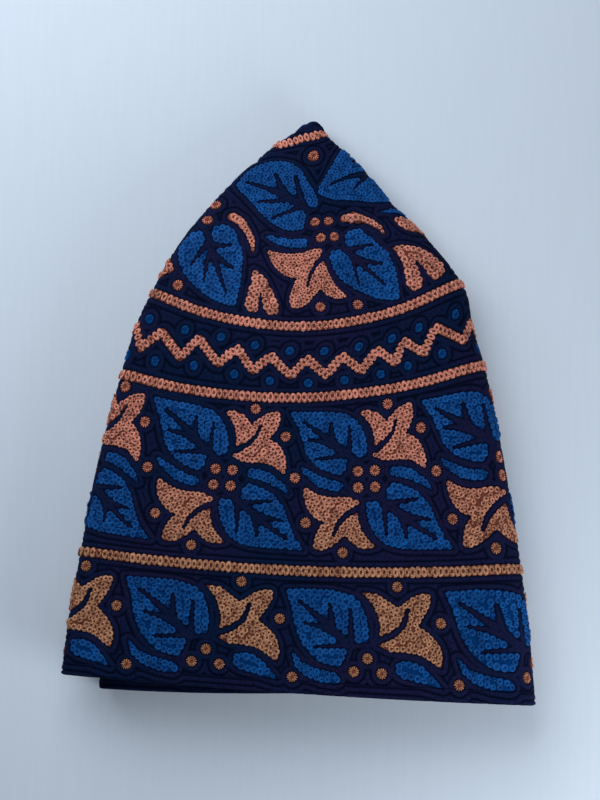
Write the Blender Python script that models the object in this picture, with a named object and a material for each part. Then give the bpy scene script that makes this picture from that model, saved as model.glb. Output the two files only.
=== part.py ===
"""A tall embroidered prayer cap, folded flat in quarters and laid on a table.

The cap is a round crown disc sewn to a side wall that widens to the brim, with a turned hem.
Folded in half and in half again, it makes four panels in a stack: the front panel lies on top,
an upper pair and a lower pair of panels each turn back at a soft fold on the left, and one wide
fold on the right holds both pairs together. The brim is open towards -Y, the crown's centre is
the point at +Y, and the lowest panel lies flat on Z = 0.
"""

import math
from collections import namedtuple

import bmesh
import bpy

MM = 0.001  # the sizes below are in millimetres

CLOTH = 2.0  # quilted cotton under solid embroidery
HEM_CLOTH = 2.4  # the turned hem is a little thicker
HEM_WIDTH = 4.0
SEAM_GAP = 0.4  # clearance between two pieces that are sewn edge to edge
PAIR_GAP = 0.8  # air between the upper pair of panels and the lower pair
NEST_GAP = 2.2  # air between the wide outer fold and the small fold nested in it

EDGE_FOLD = 6.0  # how far the rounded left folds reach in from the outline
EDGE_FOLD_SHARE = 0.2  # the same near the point, as a share of the folded width
OUTER_FOLD = 11.0  # how far the rounded outer fold reaches in from the outline
OUTER_FOLD_SHARE = 0.27
PUFF_EDGE = 0.36  # share of the front panel over which it rises to its full height

POINT_NOSE = 2.4  # how far the rounded point swells past its last section

CREASE_START = (6.0, 152.0)  # a shallow valley across the folded crown, x and distance from the brim
CREASE_END = (44.0, 138.0)
CREASE_DEPTH = 1.3
CREASE_WIDTH = 6.0

PANEL_STEPS = 10
TURN_STEPS = 8
EDGE_STEPS = 6
ROW_STEP = 8.5  # longest step between two rows of a lofted panel

# One row for each section across the folded cap, from the point to the brim.
# reach: distance of the front panel's middle from the point
# left, right: the outline, from the cap's middle line
# bow: how far the ends of the section lie ahead of its middle, as the cloth is part of a cone
# twist: how far the right end lies ahead of that, and the left end behind it
# tuck: how far the lower pair's fold lies in from the upper pair's
# slip: how far the lower pair slides out towards the brim at its left end
# low_gap, top_gap: air inside the lower pair and inside the upper pair
# puff: how far the front panel swells above its left fold
Section = namedtuple("Section", "name reach left right bow twist tuck slip low_gap top_gap puff")
SECTIONS = (
    Section("point", 5.2, -0.6, 8.2, 1.4, 0.2, 0.3, 0.0, 0.7, 0.7, 0.2),
    Section("inner_ring", 10.8, -6.2, 12.2, 3.4, 0.4, 0.6, 0.0, 0.9, 0.9, 0.5),
    Section("crown_inner", 23.5, -15.6, 20.2, 8.2, 0.4, 1.5, 0.2, 1.8, 1.8, 1.0),
    Section("crown_middle", 41.0, -28.0, 30.7, 12.0, 0.6, 2.5, 0.3, 3.2, 3.2, 2.0),
    Section("crown_outer", 57.5, -38.3, 43.0, 14.7, 0.8, 3.5, 0.5, 4.4, 4.4, 3.0),
    Section("seam", 73.0, -46.2, 53.6, 14.7, 0.7, 4.0, 0.7, 5.2, 5.2, 3.6),
    Section("zigzag", 84.0, -51.4, 55.8, 13.3, 0.2, 4.5, 0.9, 5.2, 5.2, 3.8),
    Section("upper_line", 96.0, -55.7, 59.8, 10.5, 0.8, 5.0, 1.1, 5.2, 5.2, 3.8),
    Section("main_band", 122.5, -62.7, 65.3, 6.1, -0.4, 6.5, 1.8, 5.2, 5.2, 3.6),
    Section("lower_line", 148.5, -67.1, 69.5, 3.9, -2.6, 8.0, 2.4, 5.2, 5.2, 3.3),
    Section("lower_band", 167.5, -70.2, 71.6, 2.3, -3.6, 9.2, 2.9, 5.2, 5.2, 3.0),
    Section("brim", 186.0, -72.2, 72.9, 1.0, -4.8, 10.5, 3.4, 5.2, 5.2, 2.8),
)
LENGTH = SECTIONS[-1].reach
POINT_REACH = SECTIONS[0].reach
SEAM_REACH = SECTIONS[5].reach

CROWN_COLOUR = (0.012, 0.03, 0.085, 1.0)
WALL_COLOUR = (0.01, 0.025, 0.075, 1.0)
HEM_COLOUR = (0.006, 0.012, 0.04, 1.0)
CLOTH_ROUGHNESS = 0.85


def ease(share):
    """Smooth step from 0 to 1."""
    share = min(max(share, 0.0), 1.0)
    return share * share * (3.0 - 2.0 * share)


def section_at(reach):
    """The section at any distance from the point, on a smooth curve through the rows of SECTIONS."""
    last = len(SECTIONS) - 2
    i = max((k for k in range(last + 1) if SECTIONS[k].reach <= reach), default=0)
    a, b = SECTIONS[i], SECTIONS[i + 1]
    before, after = SECTIONS[max(i - 1, 0)], SECTIONS[min(i + 2, last + 1)]
    span = b.reach - a.reach
    t = (reach - a.reach) / span
    values = []
    for k in range(2, len(Section._fields)):
        slope_a = (b[k] - before[k]) / (b.reach - before.reach) * span
        slope_b = (after[k] - a[k]) / (after.reach - a.reach) * span
        values.append(
            a[k] * (1 + 2 * t) * (1 - t) ** 2
            + slope_a * t * (1 - t) ** 2
            + b[k] * t * t * (3 - 2 * t)
            - slope_b * t * t * (1 - t)
        )
    return Section("between", reach, *values)


def crease_drop(x, from_brim):
    """How far the valley across the crown lowers the front panel at a place."""
    run_x, run_y = CREASE_END[0] - CREASE_START[0], CREASE_END[1] - CREASE_START[1]
    length = math.hypot(run_x, run_y)
    off_x, off_y = x - CREASE_START[0], from_brim - CREASE_START[1]
    along = (off_x * run_x + off_y * run_y) / length
    across = (off_x * run_y - off_y * run_x) / length
    past = max(-along, along - length, 0.0)
    return CREASE_DEPTH * math.exp(-(across**2 + past**2) / CREASE_WIDTH**2)


def arc(middle, half_size, start_deg, turn_deg, steps):
    """Points of an elliptic arc in the x-z plane, without its two ends."""
    points = []
    for k in range(1, steps):
        angle = math.radians(start_deg + turn_deg * k / steps)
        points.append((middle[0] + half_size[0] * math.cos(angle), middle[1] + half_size[1] * math.sin(angle)))
    return points


def fold_loop(s, cloth):
    """The middle surface of the cloth at one section, as a closed loop of (x, y, z).

    The loop runs over the front panel to the right, round the outer fold, back under the lowest
    panel, round the lower left fold, and out and back through the two inner panels.
    """
    half = cloth / 2
    width = s.right - s.left
    edge = min(EDGE_FOLD, EDGE_FOLD_SHARE * width)
    outer = min(OUTER_FOLD, OUTER_FOLD_SHARE * width)
    z_low = half
    z_under = CLOTH / 2 + s.low_gap + CLOTH
    z_over = z_under + PAIR_GAP + CLOTH
    z_edge = z_over + s.top_gap + CLOTH
    x_left, x_right = s.left + half, s.right - half
    x_tuck = x_left + s.tuck
    nest = min(NEST_GAP, 0.05 * width) + cloth
    turn = (z_over - z_under) / 2
    x_nest = x_right - nest - turn
    z_mid = (z_low + z_edge) / 2

    top_start, top_end = x_left + edge, x_right - outer
    panels = []
    for k in range(PANEL_STEPS + 1):
        share = k / PANEL_STEPS
        x = top_start + (top_end - top_start) * share
        panels.append((x, z_edge + s.puff * ease(share / PUFF_EDGE) * ease((1 - share) / PUFF_EDGE), "front"))
    outer_half = (outer, (z_edge - z_low) / 2)
    panels += [(x, z, "turn") for x, z in arc((top_end, z_mid), outer_half, 90, -180, TURN_STEPS)]
    low_start = x_tuck + edge
    for k in range(PANEL_STEPS + 1):
        panels.append((top_end + (low_start - top_end) * k / PANEL_STEPS, z_low, "lowest"))
    low_middle = (low_start, (z_low + z_under) / 2)
    panels += [(x, z, "low_fold") for x, z in arc(low_middle, (edge, (z_under - z_low) / 2), 270, -180, EDGE_STEPS)]
    for k in range(PANEL_STEPS + 1):
        panels.append((low_start + (x_nest - low_start) * k / PANEL_STEPS, z_under, "under"))
    nest_middle = (x_nest, (z_under + z_over) / 2)
    panels += [(x, z, "nest") for x, z in arc(nest_middle, (turn, turn), 270, 180, TURN_STEPS)]
    for k in range(PANEL_STEPS + 1):
        panels.append((x_nest + (top_start - x_nest) * k / PANEL_STEPS, z_over, "over"))
    top_middle = (top_start, (z_over + z_edge) / 2)
    panels += [(x, z, "top_fold") for x, z in arc(top_middle, (edge, (z_edge - z_over) / 2), 270, -180, EDGE_STEPS)]

    x_centre, half_width = (s.left + s.right) / 2, width / 2
    loop = []
    for x, z, panel in panels:
        across = (x - x_centre) / half_width
        y = LENGTH - s.reach + s.bow * across**2 + s.twist * across
        if panel in ("lowest", "low_fold", "under"):
            y -= s.slip * math.sin(min(max(-across, 0.0), 1.0) * math.pi / 2)
        if panel == "front":
            z -= crease_drop(x, y)
        loop.append((x, y, z))
    return loop


def rows_between(start, end):
    """Distances from the point for the rows of a lofted panel, evenly spaced from start to end."""
    steps = max(1, math.ceil((end - start) / ROW_STEP))
    return [start + (end - start) * k / steps for k in range(steps + 1)]


def plan_centre():
    """The middle of the whole cap's outline, which becomes the origin."""
    xs = [v for s in SECTIONS for v in (s.left, s.right)]
    rows = [point for reach in rows_between(POINT_REACH, LENGTH) for point in fold_loop(section_at(reach), CLOTH)]
    ys = [point[1] for point in rows]
    y_point = max(ys) + POINT_NOSE + CLOTH / 2
    return (min(xs) + max(xs)) / 2, (min(ys) + y_point) / 2


def close_point(bm, loop):
    """Closes the folded loop at the point with a rounded strip between its outer and its inner side."""
    panel, turn = PANEL_STEPS + 1, TURN_STEPS - 1
    side = 2 * panel + turn
    inner_start = side + EDGE_STEPS - 1
    outer_side = loop[:side]
    inner_side = loop[inner_start : inner_start + side]
    inner_side.reverse()
    left, right = (pick(vert.co.x for vert in loop) for pick in (min, max))
    nose = []
    for outer, inner in zip(outer_side, inner_side):
        middle = (outer.co + inner.co) / 2
        across = (2 * middle.x - left - right) / (right - left)
        middle.y += POINT_NOSE * MM * (1 - across**2)
        nose.append(bm.verts.new(middle))
    for k in range(side - 1):
        bm.faces.new((outer_side[k], nose[k], nose[k + 1], outer_side[k + 1]))
        bm.faces.new((nose[k], inner_side[k], inner_side[k + 1], nose[k + 1]))
    for tip, fold in ((nose[-1], loop[side - 1 : inner_start + 1]), (nose[0], [*loop[inner_start + side - 1 :], loop[0]])):
        for near, far in zip(fold, fold[1:]):
            bm.faces.new((near, far, tip))


def cloth_piece(name, reaches, cloth, material, centre, closed=False):
    """A piece of the folded cap: a surface lofted through its sections, then given its thickness."""
    bm = bmesh.new()
    rows = []
    for reach in reaches:
        loop = fold_loop(section_at(reach), cloth)
        rows.append([bm.verts.new(((x - centre[0]) * MM, (y - centre[1]) * MM, z * MM)) for x, y, z in loop])
    for near, far in zip(rows, rows[1:]):
        for k in range(len(near)):
            n = (k + 1) % len(near)
            bm.faces.new((near[k], far[k], far[n], near[n]))
    if closed:
        close_point(bm, rows[0])
    bmesh.ops.recalc_face_normals(bm, faces=bm.faces)
    mesh = bpy.data.meshes.new(name)
    bm.to_mesh(mesh)
    bm.free()
    mesh.shade_smooth()
    piece = bpy.data.objects.new(name, mesh)
    bpy.context.scene.collection.objects.link(piece)
    mesh.materials.append(material)
    thicken = piece.modifiers.new("cloth thickness", "SOLIDIFY")
    thicken.thickness = cloth * MM
    thicken.offset = 0.0
    thicken.use_even_offset = True
    return piece


def cloth_material(name, colour):
    """Embroidered cotton cloth in one colour."""
    material = bpy.data.materials.new(name)
    material.use_nodes = True
    shader = material.node_tree.nodes["Principled BSDF"]
    shader.inputs["Base Color"].default_value = colour
    shader.inputs["Roughness"].default_value = CLOTH_ROUGHNESS
    shader.inputs["Metallic"].default_value = 0.0
    return material


def build():
    """Builds the crown, the side wall and the hem."""
    for old in list(bpy.data.objects):
        bpy.data.objects.remove(old)
    centre = plan_centre()
    hem_start = LENGTH - HEM_WIDTH
    half_gap = SEAM_GAP / 2
    crown_rows = rows_between(POINT_REACH, SEAM_REACH - half_gap)
    wall_rows = rows_between(SEAM_REACH + half_gap, hem_start - half_gap)
    hem_rows = rows_between(hem_start + half_gap, LENGTH)
    cloth_piece("crown", crown_rows, CLOTH, cloth_material("crown cloth", CROWN_COLOUR), centre, closed=True)
    cloth_piece("side_wall", wall_rows, CLOTH, cloth_material("wall cloth", WALL_COLOUR), centre)
    cloth_piece("hem", hem_rows, HEM_CLOTH, cloth_material("hem cloth", HEM_COLOUR), centre)


build()
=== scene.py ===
"""Dresses the folded prayer cap in quilted cloth and embroidery, and sets the floor, light and camera.

The cloth follows the same folds as the solid model. The embroidery is charted flat, in millimetres,
and laid on it.
"""

from __future__ import annotations

import logging
import math
from dataclasses import dataclass, field, replace
from enum import Enum
from typing import NamedTuple, Sequence

import bpy
import numpy as np
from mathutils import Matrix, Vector

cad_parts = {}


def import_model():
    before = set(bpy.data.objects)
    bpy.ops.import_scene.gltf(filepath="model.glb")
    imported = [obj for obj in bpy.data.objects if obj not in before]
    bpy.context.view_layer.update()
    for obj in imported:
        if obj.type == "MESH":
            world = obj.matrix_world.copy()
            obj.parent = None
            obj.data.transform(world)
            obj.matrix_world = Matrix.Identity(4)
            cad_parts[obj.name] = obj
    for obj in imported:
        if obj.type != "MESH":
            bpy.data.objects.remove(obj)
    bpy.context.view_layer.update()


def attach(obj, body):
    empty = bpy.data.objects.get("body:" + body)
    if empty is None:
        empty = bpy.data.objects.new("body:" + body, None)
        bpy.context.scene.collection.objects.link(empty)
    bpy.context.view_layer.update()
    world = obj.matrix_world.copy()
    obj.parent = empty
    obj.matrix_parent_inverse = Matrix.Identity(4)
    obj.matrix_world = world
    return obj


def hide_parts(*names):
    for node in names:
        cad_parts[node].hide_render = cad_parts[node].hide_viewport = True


log = logging.getLogger("prayer_cap")

MM = 0.001  # the charts and folds below are in millimetres
PER_METRE = 1000.0
TURN = 2 * math.pi
FAR = 8.0  # beyond this distance in millimetres a place counts as far from every motif
SHOWN = 0.45  # stitches are laid where the cloth shows by more than this share
HEM_WIDTH = 4.0
AROUND = np.linspace(0.0, 1.0, 2001)  # shares of the points of a line round the cap

Array = np.ndarray
Pair = tuple[np.ndarray, np.ndarray]
Distances = dict[str, np.ndarray]
Colour = tuple[float, float, float, float]


def ease(share: Array | float) -> Array | float:
    """Smooth step from 0 to 1."""
    share = np.clip(share, 0.0, 1.0)
    return share * share * (3.0 - 2.0 * share)


def curve_place(a: Array, b: Array, slope_a: Array, slope_b: Array, t: float) -> Array:
    """The place a share t of the way from a to b, on the smooth curve that has those slopes there."""
    near = a * (1 + 2 * t) * (1 - t) ** 2 + slope_a * t * (1 - t) ** 2
    return near + b * t * t * (3 - 2 * t) - slope_b * t * t * (1 - t)


def box_of(points: Sequence[Sequence[float]]) -> tuple[float, float, float, float]:
    """The lowest x and y and the highest x and y of some points."""
    xs, ys = [p[0] for p in points], [p[1] for p in points]
    return min(xs), min(ys), max(xs), max(ys)


class Thread(Enum):
    """The embroidery threads."""

    BLUE = "blue"
    ORANGE = "orange"


class Section(NamedTuple):
    """One section across the folded cap, in millimetres, as the solid model has it."""

    reach: float
    left: float
    right: float
    bow: float
    twist: float
    tuck: float
    slip: float
    low_gap: float
    top_gap: float
    puff: float


SECTIONS = (
    Section(5.2, -0.6, 8.2, 1.4, 0.2, 0.3, 0.0, 0.7, 0.7, 0.2),
    Section(10.8, -6.2, 12.2, 3.4, 0.4, 0.6, 0.0, 0.9, 0.9, 0.5),
    Section(23.5, -15.6, 20.2, 8.2, 0.4, 1.5, 0.2, 1.8, 1.8, 1.0),
    Section(41.0, -28.0, 30.7, 12.0, 0.6, 2.5, 0.3, 3.2, 3.2, 2.0),
    Section(57.5, -38.3, 43.0, 14.7, 0.8, 3.5, 0.5, 4.4, 4.4, 3.0),
    Section(73.0, -46.2, 53.6, 14.7, 0.7, 4.0, 0.7, 5.2, 5.2, 3.6),
    Section(84.0, -51.4, 55.8, 13.3, 0.2, 4.5, 0.9, 5.2, 5.2, 3.8),
    Section(96.0, -55.7, 59.8, 10.5, 0.8, 5.0, 1.1, 5.2, 5.2, 3.8),
    Section(122.5, -62.7, 65.3, 6.1, -0.4, 6.5, 1.8, 5.2, 5.2, 3.6),
    Section(148.5, -67.1, 69.5, 3.9, -2.6, 8.0, 2.4, 5.2, 5.2, 3.3),
    Section(167.5, -70.2, 71.6, 2.3, -3.6, 9.2, 2.9, 5.2, 5.2, 3.0),
    Section(186.0, -72.2, 72.9, 1.0, -4.8, 10.5, 3.4, 5.2, 5.2, 2.8),
)
POINT_REACH = SECTIONS[0].reach
SEAM_REACH = SECTIONS[5].reach
BRIM_REACH = SECTIONS[-1].reach
HEM_REACH = BRIM_REACH - HEM_WIDTH


@dataclass(frozen=True)
class RoundLine:
    """A chain line round the cap. It may lie aslant, and further from the point beside a fold."""

    reach: float
    half: float = 1.35  # half its width
    lean: float = 0.0  # how much further it lies at the fold
    fold_share: float = -0.056
    fade: float = 0.04
    slant: float = 0.0  # how far it rises and falls once round
    level_share: float = 0.1

    def reach_at(self, share: Array) -> Array:
        """The line's reach at shares round the cap."""
        away = abs((share - self.fold_share + 0.5) % 1.0 - 0.5)
        aslant = self.slant * np.sin(TURN * (share - self.level_share))
        return self.reach + self.lean * np.exp(-away / self.fade) - aslant


TIP_RING = RoundLine(6.2, half=1.3, lean=6.9)
SEAM_LINE = RoundLine(72.8, slant=1.8)
UPPER_LINE = RoundLine(95.4, slant=1.2)
LOWER_LINE = RoundLine(148.9)


class Places(NamedTuple):
    """Places on the cloth: points, outward normals, how far each shows and how far it is pressed flat."""

    point: Array
    normal: Array
    show: Array
    pressed: Array


@dataclass
class FoldedCap:
    """The middle of the cloth as it lies folded. A place is a share round and a reach from the point."""

    cloth: float = 2.0
    pair_gap: float = 0.8
    nest_gap: float = 2.2
    nest_gap_share: float = 0.05
    edge_fold: float = 6.0
    edge_fold_share: float = 0.2
    outer_fold: float = 11.0
    outer_fold_share: float = 0.27
    puff_edge: float = 0.36
    point_nose: float = 3.6
    solid_nose: float = 2.4  # the same on the solid model, which is rounded less
    point_shift: float = 1.0
    tip_reach: float = 1.5
    crease_start: tuple[float, float] = (6.0, 152.0)
    crease_end: tuple[float, float] = (44.0, 138.0)
    crease_depth: float = 1.3
    crease_width: float = 6.0
    row_step: float = 0.5
    columns: int = 1500
    panel_points: int = 60
    turn_points: int = 40
    fold_points: int = 24
    front_middle: float = 0.15  # share at the middle of the front panel
    front_stretch: float = 0.035  # how much wider the front panel is than a quarter of the cap
    surface: Places = field(init=False)
    reaches: Array = field(init=False)
    girths: Array = field(init=False)

    def __post_init__(self) -> None:
        """Samples the whole folded surface once."""
        rows = int(round((BRIM_REACH - self.tip_reach) / self.row_step))
        self.reaches = np.linspace(self.tip_reach, BRIM_REACH, rows + 1)
        shares = np.arange(self.columns) / self.columns
        points, shows, presses, girths = [], [], [], []
        for reach in self.reaches:
            loop, show, pressed = self.closed_loop(reach)
            loop = np.vstack([loop, loop[:1]])
            run = np.r_[0.0, np.linalg.norm(np.diff(loop, axis=0), axis=1).cumsum()]
            at = shares * run[-1]
            points.append(np.stack([np.interp(at, run, loop[:, k]) for k in range(3)], axis=1))
            shows.append(np.interp(at, run, np.r_[show, show[0]]))
            presses.append(np.interp(at, run, np.r_[pressed, pressed[0]]))
            girths.append(run[-1])
        grid = np.array(points) - self.plan_centre()
        along = np.gradient(grid, axis=0)
        across = np.roll(grid, -1, axis=1) - np.roll(grid, 1, axis=1)
        normal = np.cross(along, across)
        normal /= np.linalg.norm(normal, axis=2, keepdims=True)
        self.surface = Places(grid, normal, np.array(shows), np.array(presses))
        self.girths = np.array(girths)

    def section_at(self, reach: float) -> Section:
        """The section at any reach, on a smooth curve through the rows of SECTIONS."""
        last = len(SECTIONS) - 2
        i = max((k for k in range(last + 1) if SECTIONS[k].reach <= reach), default=0)
        a, b = np.array(SECTIONS[i]), np.array(SECTIONS[i + 1])
        before, after = np.array(SECTIONS[max(i - 1, 0)]), np.array(SECTIONS[min(i + 2, last + 1)])
        span = b[0] - a[0]
        t = (reach - a[0]) / span
        slope_a = (b - before) / (b[0] - before[0]) * span
        slope_b = (after - a) / (after[0] - a[0]) * span
        return Section(reach, *curve_place(a, b, slope_a, slope_b, t)[1:])

    def crease_drop(self, x: Array, from_brim: Array) -> Array:
        """How far the valley across the crown lowers the front panel."""
        run = np.array(self.crease_end) - np.array(self.crease_start)
        length = np.hypot(*run)
        off_x, off_y = x - self.crease_start[0], from_brim - self.crease_start[1]
        along = (off_x * run[0] + off_y * run[1]) / length
        across = (off_x * run[1] - off_y * run[0]) / length
        past = np.maximum(np.maximum(-along, along - length), 0.0)
        return self.crease_depth * np.exp(-(across**2 + past**2) / self.crease_width**2)

    def fold_loop(self, s: Section) -> tuple[Array, Array, Array]:
        """The folded loop of one section, from the front panel's left end to the right and round.

        Args:
            s: The section.

        Returns:
            The loop's points, and for each how far it shows and how far the floor presses it flat.
        """
        half, width = self.cloth / 2, s.right - s.left
        edge = min(self.edge_fold, self.edge_fold_share * width)
        outer = min(self.outer_fold, self.outer_fold_share * width)
        z_low = half
        z_under = z_low + s.low_gap + self.cloth
        z_over = z_under + self.pair_gap + self.cloth
        z_edge = z_over + s.top_gap + self.cloth
        x_left, x_right = s.left + half, s.right - half
        x_tuck = x_left + s.tuck
        turn = (z_over - z_under) / 2
        x_nest = x_right - min(self.nest_gap, self.nest_gap_share * width) - self.cloth - turn
        top_start, top_end, low_start = x_left + edge, x_right - outer, x_tuck + edge

        share = np.linspace(0.0, 1.0, self.panel_points)
        full, none = np.ones_like(share), np.zeros_like(share)
        bend = (np.arange(self.turn_points) + 1.0) / (self.turn_points + 1.0)
        fold = (np.arange(self.fold_points) + 1.0) / (self.fold_points + 1.0)
        swell = s.puff * ease(share / self.puff_edge) * ease((1 - share) / self.puff_edge)
        right, back = np.pi * (0.5 - bend), np.pi * (1.5 - fold)
        nest = np.pi * (bend - 0.5)

        def between(low: float, high: float, angle: Array) -> Array:
            """Heights of a fold from one layer to another."""
            return (low + high) / 2 + (high - low) / 2 * np.sin(angle)

        parts = (
            # x, z, how far it shows, how far it is pressed, and whether it belongs to the lower pair
            (top_start + (top_end - top_start) * share, z_edge + swell, full, none, 0),
            (top_end + outer * np.cos(right), between(z_low, z_edge, right),
             1 + 0 * bend, ease(bend * 5 - 4), 0),
            (top_end + (low_start - top_end) * share, z_low * full, full, full, 1),
            (low_start + edge * np.cos(back), between(z_low, z_under, back),
             1 - ease(fold * 2 - 0.9), 1 - ease(fold * 5), 1),
            (low_start + (x_nest - low_start) * share, z_under * full, none, none, 1),
            (x_nest + turn * np.cos(nest), between(z_under, z_over, nest), 0 * bend, 0 * bend, 0),
            (x_nest + (top_start - x_nest) * share, z_over * full, none, none, 0),
            (top_start + edge * np.cos(back), between(z_over, z_edge, back),
             ease(fold * 2 - 0.1), 0 * fold, 0),
        )  # fmt: skip
        x = np.concatenate([p[0] for p in parts])
        z = np.concatenate([p[1] for p in parts])
        lower = np.concatenate([np.full(len(p[0]), p[4]) for p in parts])
        across = (x - (s.left + s.right) / 2) / (width / 2)
        y = BRIM_REACH - s.reach + s.bow * across**2 + s.twist * across
        y = y - lower * s.slip * np.sin(np.clip(-across, 0.0, 1.0) * np.pi / 2)
        count = self.panel_points
        z[:count] -= self.crease_drop(x[:count], y[:count])
        show = np.concatenate([p[2] for p in parts])
        pressed = np.concatenate([p[3] for p in parts])
        return np.stack([x, y, z], axis=1), show, pressed

    def closed_loop(self, reach: float) -> tuple[Array, Array, Array]:
        """The folded loop at a reach. Beyond the first section it closes round the point of the cap."""
        loop, show, pressed = self.fold_loop(self.section_at(max(reach, POINT_REACH)))
        if reach >= POINT_REACH:
            return loop, show, pressed
        side, folds = 2 * self.panel_points + self.turn_points, self.fold_points
        outer, inner = loop[:side], loop[side + folds : 2 * side + folds][::-1]
        nose = (outer + inner) / 2
        left, right = loop[:, 0].min(), loop[:, 0].max()
        swell = 1 - ((2 * nose[:, 0] - left - right) / (right - left)) ** 2
        there = np.arange(side)
        partner_of = np.r_[there, np.full(folds, side - 1), there[::-1], np.zeros(folds, dtype=int)]
        partner, swell = nose[partner_of], swell[partner_of]
        turn = (POINT_REACH - reach) / (POINT_REACH - self.tip_reach) * math.pi / 2
        closed = partner + (loop - partner) * math.cos(turn)
        closed[:, 1] += self.point_nose * swell * math.sin(turn)
        closed[:, 0] += self.point_shift * math.sin(turn)
        bare = ease(turn - 0.9)
        return closed, show * (1 - bare) + bare, pressed

    def plan_centre(self) -> Array:
        """The middle of the folded outline in plan, where the solid model has its origin."""
        brim = self.fold_loop(SECTIONS[-1])[0]
        point = self.fold_loop(SECTIONS[0])[0]
        xs = [v for s in SECTIONS for v in (s.left, s.right)]
        y_point = point[:, 1].max() + self.solid_nose + self.cloth / 2
        return np.array([(min(xs) + max(xs)) / 2, (brim[:, 1].min() + y_point) / 2, 0.0])

    def at(self, share: Array, reach: Array) -> Places:
        """The places at shares round the cap and reaches from the point, arrays of one shape."""
        row = (np.asarray(reach) - self.tip_reach) / (self.reaches[1] - self.reaches[0])
        row = np.clip(row, 0.0, len(self.reaches) - 1.001)
        column = (np.asarray(share) % 1.0) * self.columns
        i, j = row.astype(int), column.astype(int) % self.columns
        a, b = row - i, column - np.floor(column)
        j_next = (j + 1) % self.columns
        mixed = []
        for values in self.surface:
            w_a, w_b = (a[..., None], b[..., None]) if values.ndim == 3 else (a, b)
            near = values[i, j] * (1 - w_b) + values[i, j_next] * w_b
            far = values[i + 1, j] * (1 - w_b) + values[i + 1, j_next] * w_b
            mixed.append(near * (1 - w_a) + far * w_a)
        mixed[1] /= np.linalg.norm(mixed[1], axis=-1, keepdims=True)
        return Places(*mixed)

    def girth_at(self, reach: Array) -> Array:
        """The way round the cap at reaches from the point."""
        return np.interp(reach, self.reaches, self.girths)

    def turn_of(self, share: Array) -> Array:
        """How far round the chart a share is, 0 to 1. The front panel takes more than a quarter."""
        return share + self.front_stretch / TURN * np.sin(TURN * (share - self.front_middle))

    def share_of(self, turn: Array) -> Array:
        """The share round the cap at which a turn of the chart lies."""
        shares = np.linspace(-1.0, 2.0, 3001)
        return np.interp(turn, self.turn_of(shares), shares)

    def column_shares(self, reach: float, shown: float, pressed: float, hidden: float) -> Array:
        """Shares for the columns of a mesh, close together where the cloth shows.

        Args:
            reach: The row whose girth sets the columns.
            shown: Column spacing in millimetres on the front and the folds.
            pressed: The same on the underside.
            hidden: The same inside the stack.

        Returns:
            The shares, from 0 and without 1.
        """
        row = int(np.argmin(abs(self.reaches - reach)))
        show, press = self.surface.show[row], self.surface.pressed[row]
        shows_at_all, lies_flat = show > 0.02, press > 0.9
        spacing = np.where(shows_at_all, np.where(lies_flat, pressed, shown), hidden)
        count = np.r_[0.0, np.cumsum(self.girths[row] / self.columns / spacing)]
        steps = int(math.ceil(count[-1]))
        shares = np.arange(self.columns + 1) / self.columns
        return np.interp(np.arange(steps) / steps * count[-1], count, shares)


def segment_distance(x: Array, y: Array, a: Sequence[float], b: Sequence[float]) -> Pair:
    """Distance from places to the segment a-b, and how far along it the nearest point is, 0 to 1."""
    dx, dy = b[0] - a[0], b[1] - a[1]
    along = np.clip(((x - a[0]) * dx + (y - a[1]) * dy) / (dx * dx + dy * dy + 1e-9), 0.0, 1.0)
    return np.hypot(x - a[0] - along * dx, y - a[1] - along * dy), along


@dataclass(frozen=True)
class Moved:
    """A move of a charted shape: stretched, turned about the chart's origin, then shifted."""

    turn_deg: float = 0.0
    x: float = 0.0
    y: float = 0.0
    wide: float = 1.0
    tall: float = 1.0

    def place(self, point: Sequence[float]) -> tuple[float, ...]:
        """The moved point, with anything after x and y kept as it is."""
        px, py = point[0] * self.wide, point[1] * self.tall
        c, s = math.cos(math.radians(self.turn_deg)), math.sin(math.radians(self.turn_deg))
        return (px * c - py * s + self.x, px * s + py * c + self.y, *point[2:])


@dataclass(frozen=True)
class Stroke:
    """A line of stitching whose width changes along it. Each point is x, y and half the width there."""

    path: tuple[tuple[float, float, float], ...]
    thread: Thread = Thread.BLUE
    stitch: float = 1.7
    single_row: bool = False
    row_share: float = 0.85  # distance between the stitches of a single row, as a share of a stitch
    full_share: float = 0.62  # half the width at which such a stitch has its full size, the same

    def moved(self, move: Moved) -> Stroke:
        """The stroke after a move."""
        return replace(self, path=tuple(move.place(p) for p in self.path))

    def reach_box(self) -> tuple[float, float, float, float]:
        """The lowest x and y and the highest x and y."""
        return box_of(self.path)

    def row(self) -> Array:
        """One row of stitches along the path: x, y and relative size of each."""
        path = np.array(self.path)
        run = np.r_[0.0, np.cumsum(np.hypot(*np.diff(path[:, :2], axis=0).T))]
        count = int(run[-1] / (self.row_share * self.stitch))
        at = (np.arange(count) + 0.5) / count * run[-1]
        x, y, half = (np.interp(at, run, path[:, k]) for k in range(3))
        return np.column_stack([x, y, np.clip(half / (self.full_share * self.stitch), 0.5, 1.3)])

    def distance(self, x: Array, y: Array) -> Array:
        """Signed distance to the stroke's edge, below 0 inside."""
        nearest = np.full(x.shape, FAR * 4)
        for a, b in zip(self.path, self.path[1:]):
            away, along = segment_distance(x, y, a, b)
            nearest = np.minimum(nearest, away - (a[2] + (b[2] - a[2]) * along))
        return nearest


@dataclass(frozen=True)
class Dot:
    """A round rosette."""

    x: float
    y: float
    radius: float = 1.58
    thread: Thread = Thread.ORANGE

    def moved(self, move: Moved) -> Dot:
        """The dot after a move."""
        x, y = move.place((self.x, self.y))[:2]
        return replace(self, x=x, y=y)


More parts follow.
